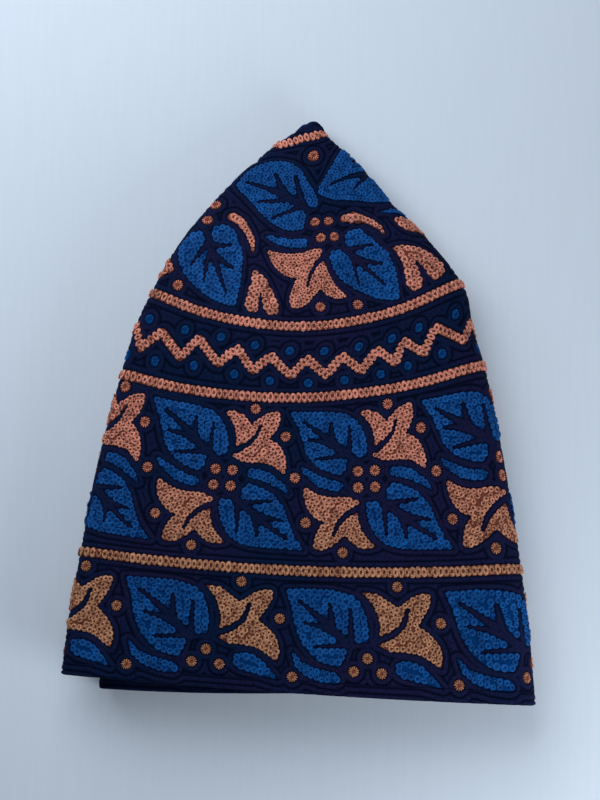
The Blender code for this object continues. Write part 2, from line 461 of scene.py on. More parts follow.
@dataclass(frozen=True)
class Outline:
    """A filled motif: a smooth closed outline less its navy veins. A third value marks a corner."""

    points: tuple[tuple[float, ...], ...]
    thread: Thread
    veins: tuple[Stroke, ...] = ()
    stitch: float = 1.85
    spread: float = 0.0
    vein_spread: float = 0.15
    steps: int = 6

    def moved(self, move: Moved) -> Outline:
        """The motif after a move."""
        points = tuple(move.place(p) for p in self.points)
        return replace(self, points=points, veins=tuple(v.moved(move) for v in self.veins))

    def reach_box(self) -> tuple[float, float, float, float]:
        """The lowest x and y and the highest x and y."""
        return box_of(self.points)

    def curve(self) -> Array:
        """The outline as short straight steps."""
        count, curve = len(self.points), []
        for k in range(count):
            a, b = self.points[k], self.points[(k + 1) % count]
            before, after = self.points[k - 1], self.points[(k + 2) % count]
            p, q = np.array(a[:2]), np.array(b[:2])
            slope_p = q - p if len(a) > 2 else (q - np.array(before[:2])) / 2
            slope_q = q - p if len(b) > 2 else (np.array(after[:2]) - p) / 2
            curve += [curve_place(p, q, slope_p, slope_q, t) for t in np.arange(self.steps) / self.steps]
        return np.array(curve)

    def distance(self, x: Array, y: Array) -> Array:
        """Signed distance to the edge of the filled part."""
        curve = self.curve()
        nearest, inside = np.full(x.shape, FAR * 4), np.zeros(x.shape, dtype=bool)
        for a, b in zip(curve, np.roll(curve, -1, axis=0)):
            nearest = np.minimum(nearest, segment_distance(x, y, a, b)[0])
            crosses = (a[1] > y) != (b[1] > y)
            inside ^= crosses & (x < a[0] + (b[0] - a[0]) * (y - a[1]) / (b[1] - a[1] + 1e-12))
        signed = np.where(inside, -nearest, nearest) - self.spread
        for vein in self.veins:
            signed = np.maximum(signed, self.vein_spread - vein.distance(x, y))
        return signed


Shape = Outline | Stroke | Dot

# The rows of filling stitches. Lengths are shares of a stitch.
EDGE_INSET = 0.47  # how far inside the edge the first row lies
ROW_PITCH = 0.87
SIDE_PITCH = 0.93
OFF_ROW = 0.15  # how far from its row, in millimetres, a stitch may lie
NEXT_ROW, LAST_OF_ALL = 1e3, 1e6  # how much later than near places these are filled
SMALLEST, NEARLY_FULL = 0.5, 0.9


def stitch_walk(shape: Outline | Stroke, grid: float = 0.2) -> Array:
    """Places for the looped stitches that fill a shape, in nested rows that follow its edge.

    Args:
        shape: The shape.
        grid: Spacing of the places that are tried.

    Returns:
        A row of x, y and relative size for each stitch.
    """
    if isinstance(shape, Stroke) and shape.single_row:
        return shape.row()
    x0, y0, x1, y1 = shape.reach_box()
    tried = np.meshgrid(np.arange(x0 - 1, x1 + 1, grid), np.arange(y0 - 1, y1 + 1, grid))
    xs, ys = (a.ravel() for a in tried)
    depth = -shape.distance(xs, ys)
    edge, row_pitch = EDGE_INSET * shape.stitch, ROW_PITCH * shape.stitch
    keep = depth > SMALLEST * edge
    xs, ys, depth = xs[keep], ys[keep], depth[keep]
    row = np.maximum(np.round((depth - edge) / row_pitch), 0.0)
    off_row = abs(depth - edge - row * row_pitch) > OFF_ROW
    size = np.clip(depth / edge, SMALLEST, 1.0)
    rank = row * NEXT_ROW + off_row * LAST_OF_ALL + (size < NEARLY_FULL) * LAST_OF_ALL
    free = np.ones(len(xs), dtype=bool)
    last_x, last_y, chosen = x0, y0, []
    while free.any():
        away = np.hypot(xs - last_x, ys - last_y)
        k = int(np.argmin(np.where(free, rank + away, np.inf)))
        last_x, last_y = xs[k], ys[k]
        chosen.append((last_x, last_y, size[k]))
        reach = shape.stitch * SIDE_PITCH * (1.0 + size[k]) / 2
        free &= np.hypot(xs - last_x, ys - last_y) >= reach * (0.5 + 0.5 * size)
    return np.array(chosen).reshape(-1, 3)


@dataclass
class DistanceField:
    """Signed distance to the nearest of some filled shapes, on a square grid that may repeat along x."""

    shapes: Sequence[Outline | Stroke]
    low: tuple[float, float]
    high: tuple[float, float]
    repeat: float | None = None
    step: float = 0.25
    step_x: float = field(init=False)
    values: Array = field(init=False)

    def __post_init__(self) -> None:
        """Works out the grid, shape by shape, near each shape only."""
        wide = self.repeat or self.high[0] - self.low[0]
        count_x = int(math.ceil(wide / self.step))
        self.step_x = wide / count_x
        count_x += 0 if self.repeat else 1
        count_y = int(math.ceil((self.high[1] - self.low[1]) / self.step)) + 1
        xs = self.low[0] + np.arange(count_x) * self.step_x
        ys = self.low[1] + np.arange(count_y) * self.step
        self.values = np.full((count_y, count_x), FAR)
        offsets = (-self.repeat, 0.0, self.repeat) if self.repeat else (0.0,)
        for shape in self.shapes:
            x0, y0, x1, y1 = shape.reach_box()
            for offset in offsets:
                cols = np.nonzero((xs > x0 + offset - FAR) & (xs < x1 + offset + FAR))[0]
                rows = np.nonzero((ys > y0 - FAR) & (ys < y1 + FAR))[0]
                if not len(cols) or not len(rows):
                    continue
                window = np.ix_(rows, cols)
                gx, gy = np.meshgrid(xs[cols] - offset, ys[rows])
                self.values[window] = np.minimum(self.values[window], shape.distance(gx, gy))

    def at(self, x: Array, y: Array) -> Array:
        """The distance at any places."""
        rows, cols = self.values.shape
        u, v = (x - self.low[0]) / self.step_x, (y - self.low[1]) / self.step
        v = np.clip(v, 0.0, rows - 1.001)
        j, a = v.astype(int), v - np.floor(v)
        if self.repeat:
            u = u % cols
        else:
            u = np.clip(u, 0.0, cols - 1.001)
        i, b = np.floor(u).astype(int) % cols, u - np.floor(u)
        i_next = (i + 1) % cols
        near = self.values[j, i] * (1 - b) + self.values[j, i_next] * b
        far = self.values[j + 1, i] * (1 - b) + self.values[j + 1, i_next] * b
        return near * (1 - a) + far * a


CELL = 45.6  # width of one cell of the main band and of the lower band

# The leaf of the main band. Its tip is at the upper left, and its stem meets the veins at the lower right.
LEAF_VEINS = (
    Stroke((
        (-4.2, -6.2, 1.15), (-8.6, -9.3, 1.35), (-12.0, -12.2, 1.25), (-16.0, -14.9, 0.8),
        (-21.2, -18.2, 0.45),
    )),
    Stroke(((-5.6, -7.6, 1.2), (-5.5, -11.0, 0.8), (-5.8, -16.3, 0.45))),
    Stroke(((-11.0, -11.4, 1.2), (-11.4, -14.2, 0.9), (-12.0, -17.7, 0.45))),
    Stroke(((-11.0, -10.6, 1.1), (-15.0, -12.0, 0.75), (-19.2, -12.6, 0.45))),
    Stroke(((-7.0, -7.4, 1.0), (-10.5, -7.1, 0.7), (-16.0, -6.6, 0.45))),
)
LEAF = Outline(
    (
        (-26.3, -21.4, 1), (-19.0, -21.1), (-12.0, -20.9), (-6.8, -19.9), (-3.2, -17.6), (-0.9, -13.6),
        (0.1, -9.8), (-0.1, -7.0, 1), (-4.4, -6.5), (-6.2, -5.6, 1), (-6.5, -4.0), (-8.2, -1.6),
        (-12.6, -2.8), (-17.0, -5.3), (-19.8, -9.0), (-21.6, -13.4), (-23.6, -17.6),
    ),
    Thread.BLUE,
    LEAF_VEINS,
    stitch=1.85,
)
CRESCENT = Stroke((
    (-20.9, -4.2, 0.2), (-18.6, -2.0, 1.05), (-14.4, 0.6, 1.45), (-11.2, 1.6, 1.45), (-8.8, 1.9, 1.35),
))
FLEUR = Outline(
    (
        (-2.8, -20.2, 1), (0.6, -20.8), (3.6, -19.9), (5.6, -18.2), (6.8, -16.9, 1), (9.0, -18.8),
        (12.0, -20.7), (15.2, -21.4), (16.4, -20.4), (15.9, -16.8), (14.3, -14.0), (13.2, -12.8, 1),
        (16.2, -11.4), (18.6, -8.4), (19.7, -5.0), (19.4, -1.8), (17.8, -2.8), (14.8, -4.5),
        (11.0, -5.2), (6.0, -5.2), (1.9, -6.7, 1), (2.4, -9.6, 1), (2.7, -11.6), (1.6, -15.4),
        (-0.5, -18.2),
    ),
    Thread.ORANGE,
    (
        Stroke((
            (0.4, -8.0, 1.0), (3.6, -8.9, 0.95), (6.6, -10.9, 0.9), (8.8, -13.2, 0.75), (10.3, -16.6, 0.45),
        )),
    ),
    stitch=1.55,
    spread=-0.15,
)
HALF_TURN = Moved(turn_deg=180.0)
CLUSTER = tuple(Dot(x, y, 1.6) for x in (-2.7, 2.7) for y in (-2.45, 2.45))
MAIN_MOTIF = (
    LEAF, CRESCENT, FLEUR, LEAF.moved(HALF_TURN), CRESCENT.moved(HALF_TURN), FLEUR.moved(HALF_TURN),
    *CLUSTER, Dot(7.5, -21.9), Dot(-7.5, 21.9), Dot(18.7, -13.6), Dot(-18.9, 13.0), Dot(22.8, -0.8),
)  # fmt: skip

LOWER_LEAF = Outline(
    (
        (-24.2, -19.8, 1), (-18.7, -20.1), (-10.9, -20.0), (-4.8, -18.6), (-1.5, -15.2), (0.0, -10.1),
        (0.0, -5.0, 1), (-3.6, -4.6), (-5.8, -3.2, 1), (-6.3, -0.6), (-8.0, 2.3), (-13.5, 1.2),
        (-17.8, -2.7), (-20.4, -8.0), (-21.9, -13.8), (-23.2, -17.5),
    ),
    Thread.BLUE,
    tuple(vein.moved(Moved(x=0.7, y=4.9, wide=0.98, tall=1.18)) for vein in LEAF_VEINS),
)
LOWER_CRESCENT = Stroke((
    (-21.2, -1.0, 0.2), (-19.2, 2.6, 1.1), (-16.2, 4.7, 1.55), (-12.6, 5.6, 1.75), (-9.2, 6.2, 1.6),
))
LOWER_FLEUR = Outline(
    (
        (-2.4, -19.9, 1), (2.4, -19.3), (5.7, -17.2), (8.6, -15.3, 1), (12.0, -18.0), (14.9, -19.4),
        (17.4, -19.4), (17.8, -17.6), (16.9, -14.6), (15.4, -12.0), (14.2, -10.2, 1), (17.3, -7.8),
        (19.7, -5.0), (20.7, -1.6), (20.3, 2.2, 1), (17.2, 0.1), (14.0, -1.7), (10.2, -2.3), (6.3, -2.5),
        (2.4, -4.2, 1), (3.2, -6.9, 1), (3.4, -10.2), (2.3, -13.8), (0.6, -16.9),
    ),
    Thread.ORANGE,
    (Stroke(((2.6, -5.2, 1.0), (7.0, -7.3, 0.95), (9.9, -9.9, 0.8), (11.4, -14.7, 0.45))),),
    stitch=1.55,
    spread=-0.15,
)
SHARD = Outline(
    ((8.0, 1.4), (10.4, 0.2), (14.0, 0.9), (17.2, 3.5), (20.6, 7.6, 1), (14.5, 6.1), (8.8, 4.6)),
    Thread.BLUE,
)
LOWER_MOTIF = (
    LOWER_LEAF, LOWER_CRESCENT, LOWER_FLEUR, SHARD,
    Dot(0.0, -0.2), Dot(-3.8, 3.8), Dot(4.0, 4.0), Dot(8.4, -21.4), Dot(20.3, -10.9), Dot(-21.0, 6.4),
)  # fmt: skip

# The crown is charted flat round its centre: x to the right, y towards the brim along the front panel.
CROWN_LEAF = Outline(
    (
        (-25.0, 20.2), (-21.6, 15.4), (-17.2, 12.6), (-13.6, 12.2), (-10.0, 13.6), (-6.8, 16.5),
        (-4.4, 21.0), (-1.4, 25.6), (1.0, 29.7), (0.6, 31.6, 1), (-1.4, 32.6), (-2.6, 33.8, 1),
        (-2.4, 36.6), (-2.8, 39.8, 1), (-7.0, 39.8), (-11.4, 38.0), (-15.4, 34.4), (-18.8, 30.0),
        (-22.0, 25.6),
    ),
    Thread.BLUE,
    (
        Stroke((
            (-1.0, 33.2, 1.1), (-5.6, 29.9, 1.4), (-10.4, 26.6, 1.3), (-15.6, 23.0, 0.9),
            (-22.0, 19.6, 0.45),
        )),
        Stroke(((-3.6, 30.8, 1.1), (-5.6, 26.6, 0.9), (-7.8, 19.6, 0.45))),
        Stroke(((-9.6, 27.0, 1.2), (-11.8, 23.0, 0.9), (-14.0, 17.2, 0.45))),
        Stroke(((-8.4, 28.2, 1.0), (-13.0, 28.6, 0.8), (-18.4, 27.6, 0.45))),
        Stroke(((-4.6, 31.4, 1.0), (-8.4, 33.0, 0.8), (-13.0, 34.8, 0.45))),
    ),
    stitch=1.45,
)
CROWN_CRESCENT = Stroke(((-15.0, 41.0, 0.2), (-11.6, 42.8, 1.1), (-7.0, 44.5, 1.45), (-1.8, 44.8, 1.4)))
CROWN_FLEUR = Outline(
    (
        (-14.4, 46.2, 1), (-9.0, 47.9), (-3.0, 48.2), (1.6, 47.0), (4.2, 46.9), (4.7, 48.4, 1),
        (5.6, 51.2, 1), (7.6, 55.6), (10.4, 60.0), (14.2, 62.6, 1), (11.0, 63.9), (7.6, 63.0),
        (4.4, 60.8, 1), (1.8, 63.4), (-1.4, 66.2), (-4.6, 66.9), (-6.4, 65.2), (-5.8, 61.4),
        (-3.8, 57.0, 1), (-7.6, 55.8), (-11.2, 52.8), (-13.2, 49.4),
    ),
    Thread.ORANGE,
    (Stroke(((5.6, 49.4, 0.9), (2.8, 52.4, 0.85), (0.9, 55.8, 0.65), (0.1, 59.6, 0.45))),),
    stitch=1.35,
    spread=-0.15,
)
CROWN_OUTER_LEAF = Outline(
    (
        (13.6, 41.6, 1), (17.4, 39.7), (22.0, 40.4), (25.6, 43.2), (28.6, 47.2), (31.0, 52.4),
        (32.6, 60.8, 1), (27.0, 62.1), (20.6, 61.4), (14.8, 59.3), (10.6, 56.2), (8.3, 52.2),
        (7.8, 48.8), (9.6, 47.6), (12.0, 47.8, 1), (13.4, 46.2, 1), (13.0, 43.8),
    ),
    Thread.BLUE,
    (
        Stroke(((12.0, 46.9, 1.0), (16.0, 49.4, 1.2), (20.6, 53.0, 0.9), (27.6, 57.6, 0.45))),
        Stroke(((14.0, 47.4, 1.0), (18.0, 46.4, 0.75), (23.4, 44.8, 0.45))),
        Stroke(((16.4, 49.6, 1.0), (21.0, 50.8, 0.75), (26.4, 50.8, 0.45))),
        Stroke(((15.6, 50.0, 1.0), (16.6, 53.4, 0.75), (18.2, 58.8, 0.45))),
    ),
)
CROWN_ARC = Stroke(
    (
        (12.2, 36.2, 1.3), (16.2, 35.5, 1.4), (19.6, 36.1, 1.1), (23.2, 37.1, 1.0), (26.1, 38.5, 0.85),
        (27.6, 40.3, 0.35),
    ),
    Thread.ORANGE,
    single_row=True,
)
CROWN_CLUSTER = (Dot(1.4, 37.4), Dot(6.3, 37.2), Dot(4.0, 43.2), Dot(8.9, 42.9))
CROWN_HORNS = Outline(
    (
        (-18.8, 52.6, 1), (-15.4, 55.4), (-12.6, 60.4), (-10.6, 66.2), (-11.4, 68.2), (-14.6, 68.0),
        (-15.6, 64.4), (-16.2, 59.6, 1), (-17.4, 63.4), (-18.0, 66.8), (-19.6, 67.0), (-21.8, 65.0),
        (-20.6, 60.4), (-19.2, 56.6),
    ),
    Thread.ORANGE,
)
CROWN_DOTS = (Dot(-1.2, 13.5, 1.9), Dot(4.4, 66.4), Dot(17.6, 65.1))
SECTOR = (
    CROWN_LEAF, CROWN_CRESCENT, CROWN_FLEUR, CROWN_OUTER_LEAF, CROWN_ARC, CROWN_HORNS,
    *CROWN_CLUSTER, *CROWN_DOTS,
)  # fmt: skip

# The sector at the left of the front panel lies a little further round than a sixth, with a larger leaf.
LEFT_OUTER_LEAF = Outline(
    (
        (-40.4, 37.6), (-36.4, 35.2, 1), (-34.6, 38.6), (-32.8, 39.2, 1), (-33.0, 36.6), (-29.4, 34.8),
        (-25.6, 37.6), (-23.4, 43.2), (-22.5, 49.6), (-23.4, 57.0), (-25.8, 64.6, 1), (-31.0, 61.8),
        (-36.6, 57.4), (-41.4, 51.4), (-43.4, 45.4), (-42.8, 40.6),
    ),
    Thread.BLUE,
    (
        Stroke(((-33.8, 37.4, 1.0), (-33.2, 42.6, 1.3), (-31.4, 49.0, 1.0), (-28.4, 59.6, 0.45))),
        Stroke(((-33.8, 40.4, 1.0), (-36.4, 43.4, 0.8), (-39.8, 47.2, 0.45))),
        Stroke(((-33.2, 44.6, 1.1), (-35.0, 48.4, 0.8), (-36.0, 53.8, 0.45))),
        Stroke(((-32.8, 41.6, 1.1), (-29.8, 42.6, 0.7), (-26.2, 42.9, 0.45))),
        Stroke(((-31.8, 45.4, 1.1), (-29.4, 48.0, 0.8), (-25.6, 51.4, 0.45))),
    ),
)
LEFT_ARC = Stroke(
    ((-26.4, 32.0, 1.5), (-23.4, 34.6, 1.3), (-20.8, 39.0, 1.1), (-19.4, 42.4, 1.0), (-18.8, 46.4, 0.3)),
    Thread.ORANGE,
    single_row=True,
)
LEFT_DOTS = (Dot(-31.2, 26.6), Dot(-33.8, 32.2), Dot(-44.9, 52.5), Dot(-37.0, 22.4), Dot(-39.4, 28.4))
RIGHT_LEAF = Outline(
    (
        (0.6, 26.2), (3.2, 21.4), (6.2, 16.4), (9.6, 12.0), (15.0, 9.4), (21.0, 11.4), (26.2, 17.0),
        (29.0, 23.4), (28.8, 27.9), (24.0, 30.2), (17.0, 30.8), (9.6, 30.2), (3.2, 28.5),
    ),
    Thread.BLUE,
    (
        Stroke(((29.0, 17.0, 1.3), (22.0, 19.4, 1.2), (14.0, 22.4, 0.9), (5.2, 24.8, 0.45))),
        Stroke(((20.0, 20.2, 1.0), (17.6, 23.4, 0.8), (14.6, 27.0, 0.45))),
        Stroke(((24.0, 18.4, 1.1), (20.0, 14.0, 0.8), (12.6, 17.4, 0.45))),
    ),
    stitch=1.45,
)
RIGHT_HORNS = Outline(
    (
        (30.0, 44.8, 1), (34.2, 43.4), (39.6, 43.2), (44.4, 44.2), (47.6, 46.4), (46.4, 49.2),
        (43.8, 51.8), (41.0, 49.4), (37.2, 46.8, 1), (38.6, 50.4), (40.4, 54.4), (37.4, 57.0),
        (35.4, 55.8), (34.6, 51.4), (32.8, 47.6),
    ),
    Thread.ORANGE,
)
RIGHT_CRESCENT = Stroke(((25.4, 33.2, 0.15), (29.2, 32.0, 0.6), (33.4, 30.4, 1.2), (37.4, 28.8, 1.5)))
LEFT_BIT = Outline(((-46.4, 41.4, 1), (-45.3, 47.6, 1), (-51.0, 47.0), (-53.0, 42.0)), Thread.ORANGE)
CENTRE_DISC = Stroke(((-2.6, -0.2, 2.3), (-2.5, -0.2, 2.3)))
RIGHT_BIT = Outline(
    ((30.8, 34.6, 1), (35.0, 32.2), (39.4, 34.6), (38.4, 37.0), (34.2, 37.2)), Thread.ORANGE
)
SIXTH = 60.0  # in degrees, as the turns below
FRONT_CROWN = (
    *SECTOR, LEFT_OUTER_LEAF, LEFT_ARC, *LEFT_DOTS, CROWN_CRESCENT.moved(Moved(turn_deg=SIXTH)),
    CROWN_LEAF.moved(Moved(turn_deg=SIXTH)), CROWN_FLEUR.moved(Moved(turn_deg=SIXTH + 2)),
    RIGHT_LEAF, RIGHT_HORNS, RIGHT_BIT, RIGHT_CRESCENT, LEFT_BIT, CENTRE_DISC,
)  # fmt: skip
BACK_CROWN = tuple(shape.moved(Moved(turn_deg=SIXTH * k)) for k in (2, 3, 4) for shape in SECTOR)
EAST_SECTOR = (CROWN_FLEUR, CROWN_OUTER_LEAF, CROWN_ARC, *CROWN_CLUSTER[2:], *CROWN_DOTS[1:])
EAST_CROWN = tuple(shape.moved(Moved(turn_deg=-SIXTH)) for shape in EAST_SECTOR)
CROWN_SHAPES = (*FRONT_CROWN, *BACK_CROWN, *EAST_CROWN)


@dataclass
class Chart:
    """The embroidery of one stretch of the cap, between two reaches."""

    shapes: Sequence[Shape]
    lines: tuple[RoundLine, ...]
    low: tuple[float, float]
    high: tuple[float, float]
    repeat: float | None = None
    fields: dict[Thread, DistanceField] = field(init=False)
    dot_rows: dict[Thread, Array] = field(init=False)

    def __post_init__(self) -> None:
        """Works out how far each place is from the stitching of each colour."""
        self.fields, self.dot_rows = {}, {}
        for thread in Thread:
            own = [s for s in self.shapes if s.thread is thread and not isinstance(s, Dot)]
            self.fields[thread] = DistanceField(own, self.low, self.high, self.repeat)

    def chart_place(self, cap: FoldedCap, share: Array, reach: Array) -> Pair:
        """Where a place on the cap is on the chart."""
        raise NotImplementedError

    def cap_place(self, cap: FoldedCap, x: Array, y: Array) -> Pair:
        """The share and reach of a place on the chart."""
        raise NotImplementedError

    def copies(self) -> range:
        """Which repeats of the chart go round the cap."""
        return range(1)

    def dots(self, cap: FoldedCap, thread: Thread) -> Array:
        """Share, reach, girth of the cap there and radius of every dot of one thread, a row for each."""
        if thread not in self.dot_rows:
            own = [s for s in self.shapes if isinstance(s, Dot) and s.thread is thread]
            shift = self.repeat or 0.0
            rows = np.array([(dot.x + k * shift, dot.y, dot.radius) for k in self.copies() for dot in own])
            x, y, radius = rows.reshape(-1, 3).T
            share, reach = self.cap_place(cap, x, y)
            self.dot_rows[thread] = np.column_stack([share, reach, cap.girth_at(reach), radius])
        return self.dot_rows[thread]

    def thread_distance(self, cap: FoldedCap, thread: Thread, share: Array, reach: Array) -> Array:
        """Distance to the motifs of one thread. The dots stay round where a fold draws the chart out."""
        nearest = self.fields[thread].at(*self.chart_place(cap, share, reach))
        for dot_share, dot_reach, girth, radius in self.dots(cap, thread):
            aside = ((share - dot_share + 0.5) % 1.0 - 0.5) * girth
            nearest = np.minimum(nearest, np.hypot(aside, reach - dot_reach) - radius)
        return nearest

    def distances(self, cap: FoldedCap, share: Array, reach: Array) -> Distances:
        """Distances in millimetres at places on the cap: to blue, to orange and to the nearer of them."""
        blue = self.thread_distance(cap, Thread.BLUE, share, reach)
        orange = self.thread_distance(cap, Thread.ORANGE, share, reach)
        for line in self.lines:
            orange = np.minimum(orange, abs(reach - line.reach_at(share)) - line.half)
        return {"blue": blue, "orange": orange, "ground": np.minimum(blue, orange)}


@dataclass(frozen=True)
class Pull:
    """A stretch of the wall where a fold draws the pattern along the band."""

    share: float  # its middle
    shift: float  # in millimetres
    fade: float


@dataclass
class BandChart(Chart):
    """A chart that repeats round the side wall."""

    repeats: int = 11
    middle: float = 0.0  # reach at which y is 0
    anchor: float = 0.1537  # share at which one repeat's x is 0
    pulls: tuple[Pull, ...] = ()

    def along(self, cap: FoldedCap, share: Array) -> Array:
        """How far along the chart a share is, in millimetres."""
        x = (cap.turn_of(share) - cap.turn_of(np.array(self.anchor))) * self.repeats * self.repeat
        for pull in self.pulls:
            away = (share - pull.share + 0.5) % 1.0 - 0.5
            x = x + pull.shift * np.exp(-((away / pull.fade) ** 2))
        return x

    def chart_place(self, cap: FoldedCap, share: Array, reach: Array) -> Pair:
        """Where a place on the cap is on the chart."""
        return self.along(cap, share), reach - self.middle

    def cap_place(self, cap: FoldedCap, x: Array, y: Array) -> Pair:
        """The share and reach of a place on the chart."""
        shares = np.linspace(-1.0, 2.0, 9001)
        return np.interp(x, self.along(cap, shares), shares), y + self.middle

    def copies(self) -> range:
        """Which repeats of the chart go round the cap."""
        return range(self.repeats)

    @classmethod
    def of_cells(
        cls,
        shapes: Sequence[Shape],
        lines: tuple[RoundLine, ...],
        cell: float,
        rows: tuple[float, float],
        **others: object,
    ) -> BandChart:
        """A chart of cells side by side.

        Args:
            shapes: The motifs of one cell.
            lines: The chain lines beside it.
            cell: The cell's width.
            rows: The lowest and the highest y.
            others: Other fields.

        Returns:
            The chart.
        """
        return cls(shapes, lines, (0.0, rows[0]), (cell, rows[1]), cell, **others)


@dataclass
class WaveChart(BandChart):
    """A band whose repeats are uneven on the front, as the stitcher guided them, and even behind."""

    first: float = -7.2  # place of the first wave's peak, in millimetres along the band
    front_sides: tuple[float, ...] = (
        4.2, 4.3, 8.6, 3.7, 8.4, 4.7, 6.1, 4.7, 6.8, 4.9, 5.9, 5.0, 5.9, 5.2, 5.6, 3.2, 6.4, 4.8, 8.5, 5.1,
    )  # fmt: skip
    front_middles: tuple[float, ...] = (86.2, 85.9, 84.2, 84.5, 85.4, 85.8, 85.6, 85.1, 84.2, 83.4, 84.8)
    girth: float = 436.0

    def corners(self) -> Array:
        """Shares from the first peak to each corner of the zigzag, and once round."""
        front = np.r_[0.0, np.cumsum(self.front_sides)] / self.girth
        back = np.linspace(front[-1], 1.0, 2 * self.repeats - len(self.front_sides) + 1)
        return np.r_[front, back[1:]]

    def middle_at(self, wave: Array) -> Array:
        """Reach of the band's middle at a wave, counted from the first."""
        peaks = np.r_[np.arange(len(self.front_middles)), self.repeats]
        return np.interp(wave, peaks, np.r_[self.front_middles, self.front_middles[0]])

    def chart_place(self, cap: FoldedCap, share: Array, reach: Array) -> Pair:
        """Where a place on the cap is on the chart."""
        corners = self.corners()
        wave = np.interp((share - self.first / self.girth) % 1.0, corners, np.arange(len(corners))) / 2
        return wave * self.repeat, reach - self.middle_at(wave)

    def cap_place(self, cap: FoldedCap, x: Array, y: Array) -> Pair:
        """The share and reach of a place on the chart."""
        corners = self.corners()
        wave = (x / self.repeat) % self.repeats
        share = np.interp(wave * 2, np.arange(len(corners)), corners) + self.first / self.girth
        return share, y + self.middle_at(wave)


@dataclass
class DiscChart(Chart):
    """The crown's chart, flat round the cap's centre."""

    anchor: float = 0.1075  # share that runs along the chart's y

    def chart_place(self, cap: FoldedCap, share: Array, reach: Array) -> Pair:
        """Where a place on the cap is on the chart."""
        angle = TURN * (cap.turn_of(share) - cap.turn_of(np.array(self.anchor)))
        return reach * np.sin(angle), reach * np.cos(angle)

    def cap_place(self, cap: FoldedCap, x: Array, y: Array) -> Pair:
        """The share and reach of a place on the chart."""
        turn = np.arctan2(x, y) / TURN + cap.turn_of(np.array(self.anchor))
        return cap.share_of(turn), np.hypot(x, y)


class Socket:
    """A shader socket that Python's operators turn into Math nodes."""

    def __init__(self, graph: Graph, output: bpy.types.NodeSocket) -> None:
        """Wraps one output socket of a graph."""
        self.graph, self.output = graph, output

    def math(self, operation: str, *values: Socket | float) -> Socket:
        """A Math node on this socket and other values."""
        return self.graph.node("ShaderNodeMath", {"operation": operation}, dict(enumerate((self, *values))))

    def __add__(self, other: Socket | float) -> Socket:
        """Sum."""
        return self.math("ADD", other)

    __radd__ = __add__

    def __mul__(self, other: Socket | float) -> Socket:
        """Product."""
        return self.math("MULTIPLY", other)

    __rmul__ = __mul__

    def __sub__(self, other: Socket | float) -> Socket:
        """Difference."""
        return self.math("SUBTRACT", other)

    def __rsub__(self, other: float) -> Socket:
        """Difference from a number."""
        return self.graph.node("ShaderNodeMath", {"operation": "SUBTRACT"}, {0: other, 1: self})

    def step(self, low: float, high: float) -> Socket:
        """Smooth step from 0 at low to 1 at high. Low may be the larger of the two."""
        settings = {"interpolation_type": "SMOOTHSTEP"}
        inputs = {"Value": self, "From Min": low, "From Max": high}
        return self.graph.node("ShaderNodeMapRange", settings, inputs, "Result")


class Graph:
    """A material's node tree, built by calls."""

    def __init__(self, name: str) -> None:
        """Starts a material with one Principled shader."""
        self.material = bpy.data.materials.new(name)
        self.material.use_nodes = True
        self.tree = self.material.node_tree
        self.shader = self.tree.nodes["Principled BSDF"]

    def node(
        self, kind: str, settings: dict | None = None, inputs: dict | None = None, out: str | int = 0
    ) -> Socket:
        """Adds a node.

        Args:
            kind: The node's type.
            settings: Its properties, set before its sockets.
            inputs: Values or Sockets by socket name or number.
            out: The output that is wanted.

        Returns:
            That output.
        """
        node = self.tree.nodes.new(kind)
        for name, value in (settings or {}).items():
            setattr(node, name, value)
        for key, value in (inputs or {}).items():
            self.feed(node.inputs[key], value)
        return Socket(self, node.outputs[out])

    def feed(self, target: bpy.types.NodeSocket, value: object) -> None:
        """Links a Socket into an input, or sets its value."""
        if isinstance(value, Socket):
            self.tree.links.new(value.output, target)
        else:
            target.default_value = value

    def finish(self, **inputs: object) -> bpy.types.Material:
        """Feeds the Principled shader. An underscore in a name stands for a space."""
        for key, value in inputs.items():
            self.feed(self.shader.inputs[key.replace("_", " ")], value)
        return self.material

    def attribute(self, name: str) -> Socket:
        """A number kept on the mesh."""
        return self.node("ShaderNodeAttribute", {"attribute_name": name}, out="Fac")

    def noise(self, size_mm: float, detail: float = 2.0, stretch: Vector | None = None) -> Socket:
        """Noise with features of about that size, longer where the stretch is below 1."""
        place = self.node("ShaderNodeTexCoord", out="Object")
        if stretch is not None:
            place = self.node("ShaderNodeVectorMath", {"operation": "MULTIPLY"}, {0: place, 1: stretch})
        inputs = {"Vector": place, "Scale": PER_METRE / size_mm, "Detail": detail}
        return self.node("ShaderNodeTexNoise", inputs=inputs)

    def cells(self, size_mm: float) -> Socket:
        """Distance to the middle of cells of about that size, 0 to about 1."""
        inputs = {"Vector": self.node("ShaderNodeTexCoord", out="Object"), "Scale": PER_METRE / size_mm}
        return self.node("ShaderNodeTexVoronoi", inputs=inputs, out="Distance")

    def mix(self, factor: Socket, a: object, b: object) -> Socket:
        """A colour between a and b."""
        settings = {"data_type": "RGBA"}
        return self.node("ShaderNodeMix", settings, {0: factor, 6: a, 7: b}, out=2)

    def bump(self, height: Socket, depth_mm: float) -> Socket:
        """A normal bent by a height from 0 to 1."""
        inputs = {"Height": height, "Distance": depth_mm * MM, "Strength": 1.0}
        return self.node("ShaderNodeBump", inputs=inputs)


def shade(red: float, green: float, blue: float) -> Colour:
    """A linear colour with full alpha."""
    return (red, green, blue, 1.0)


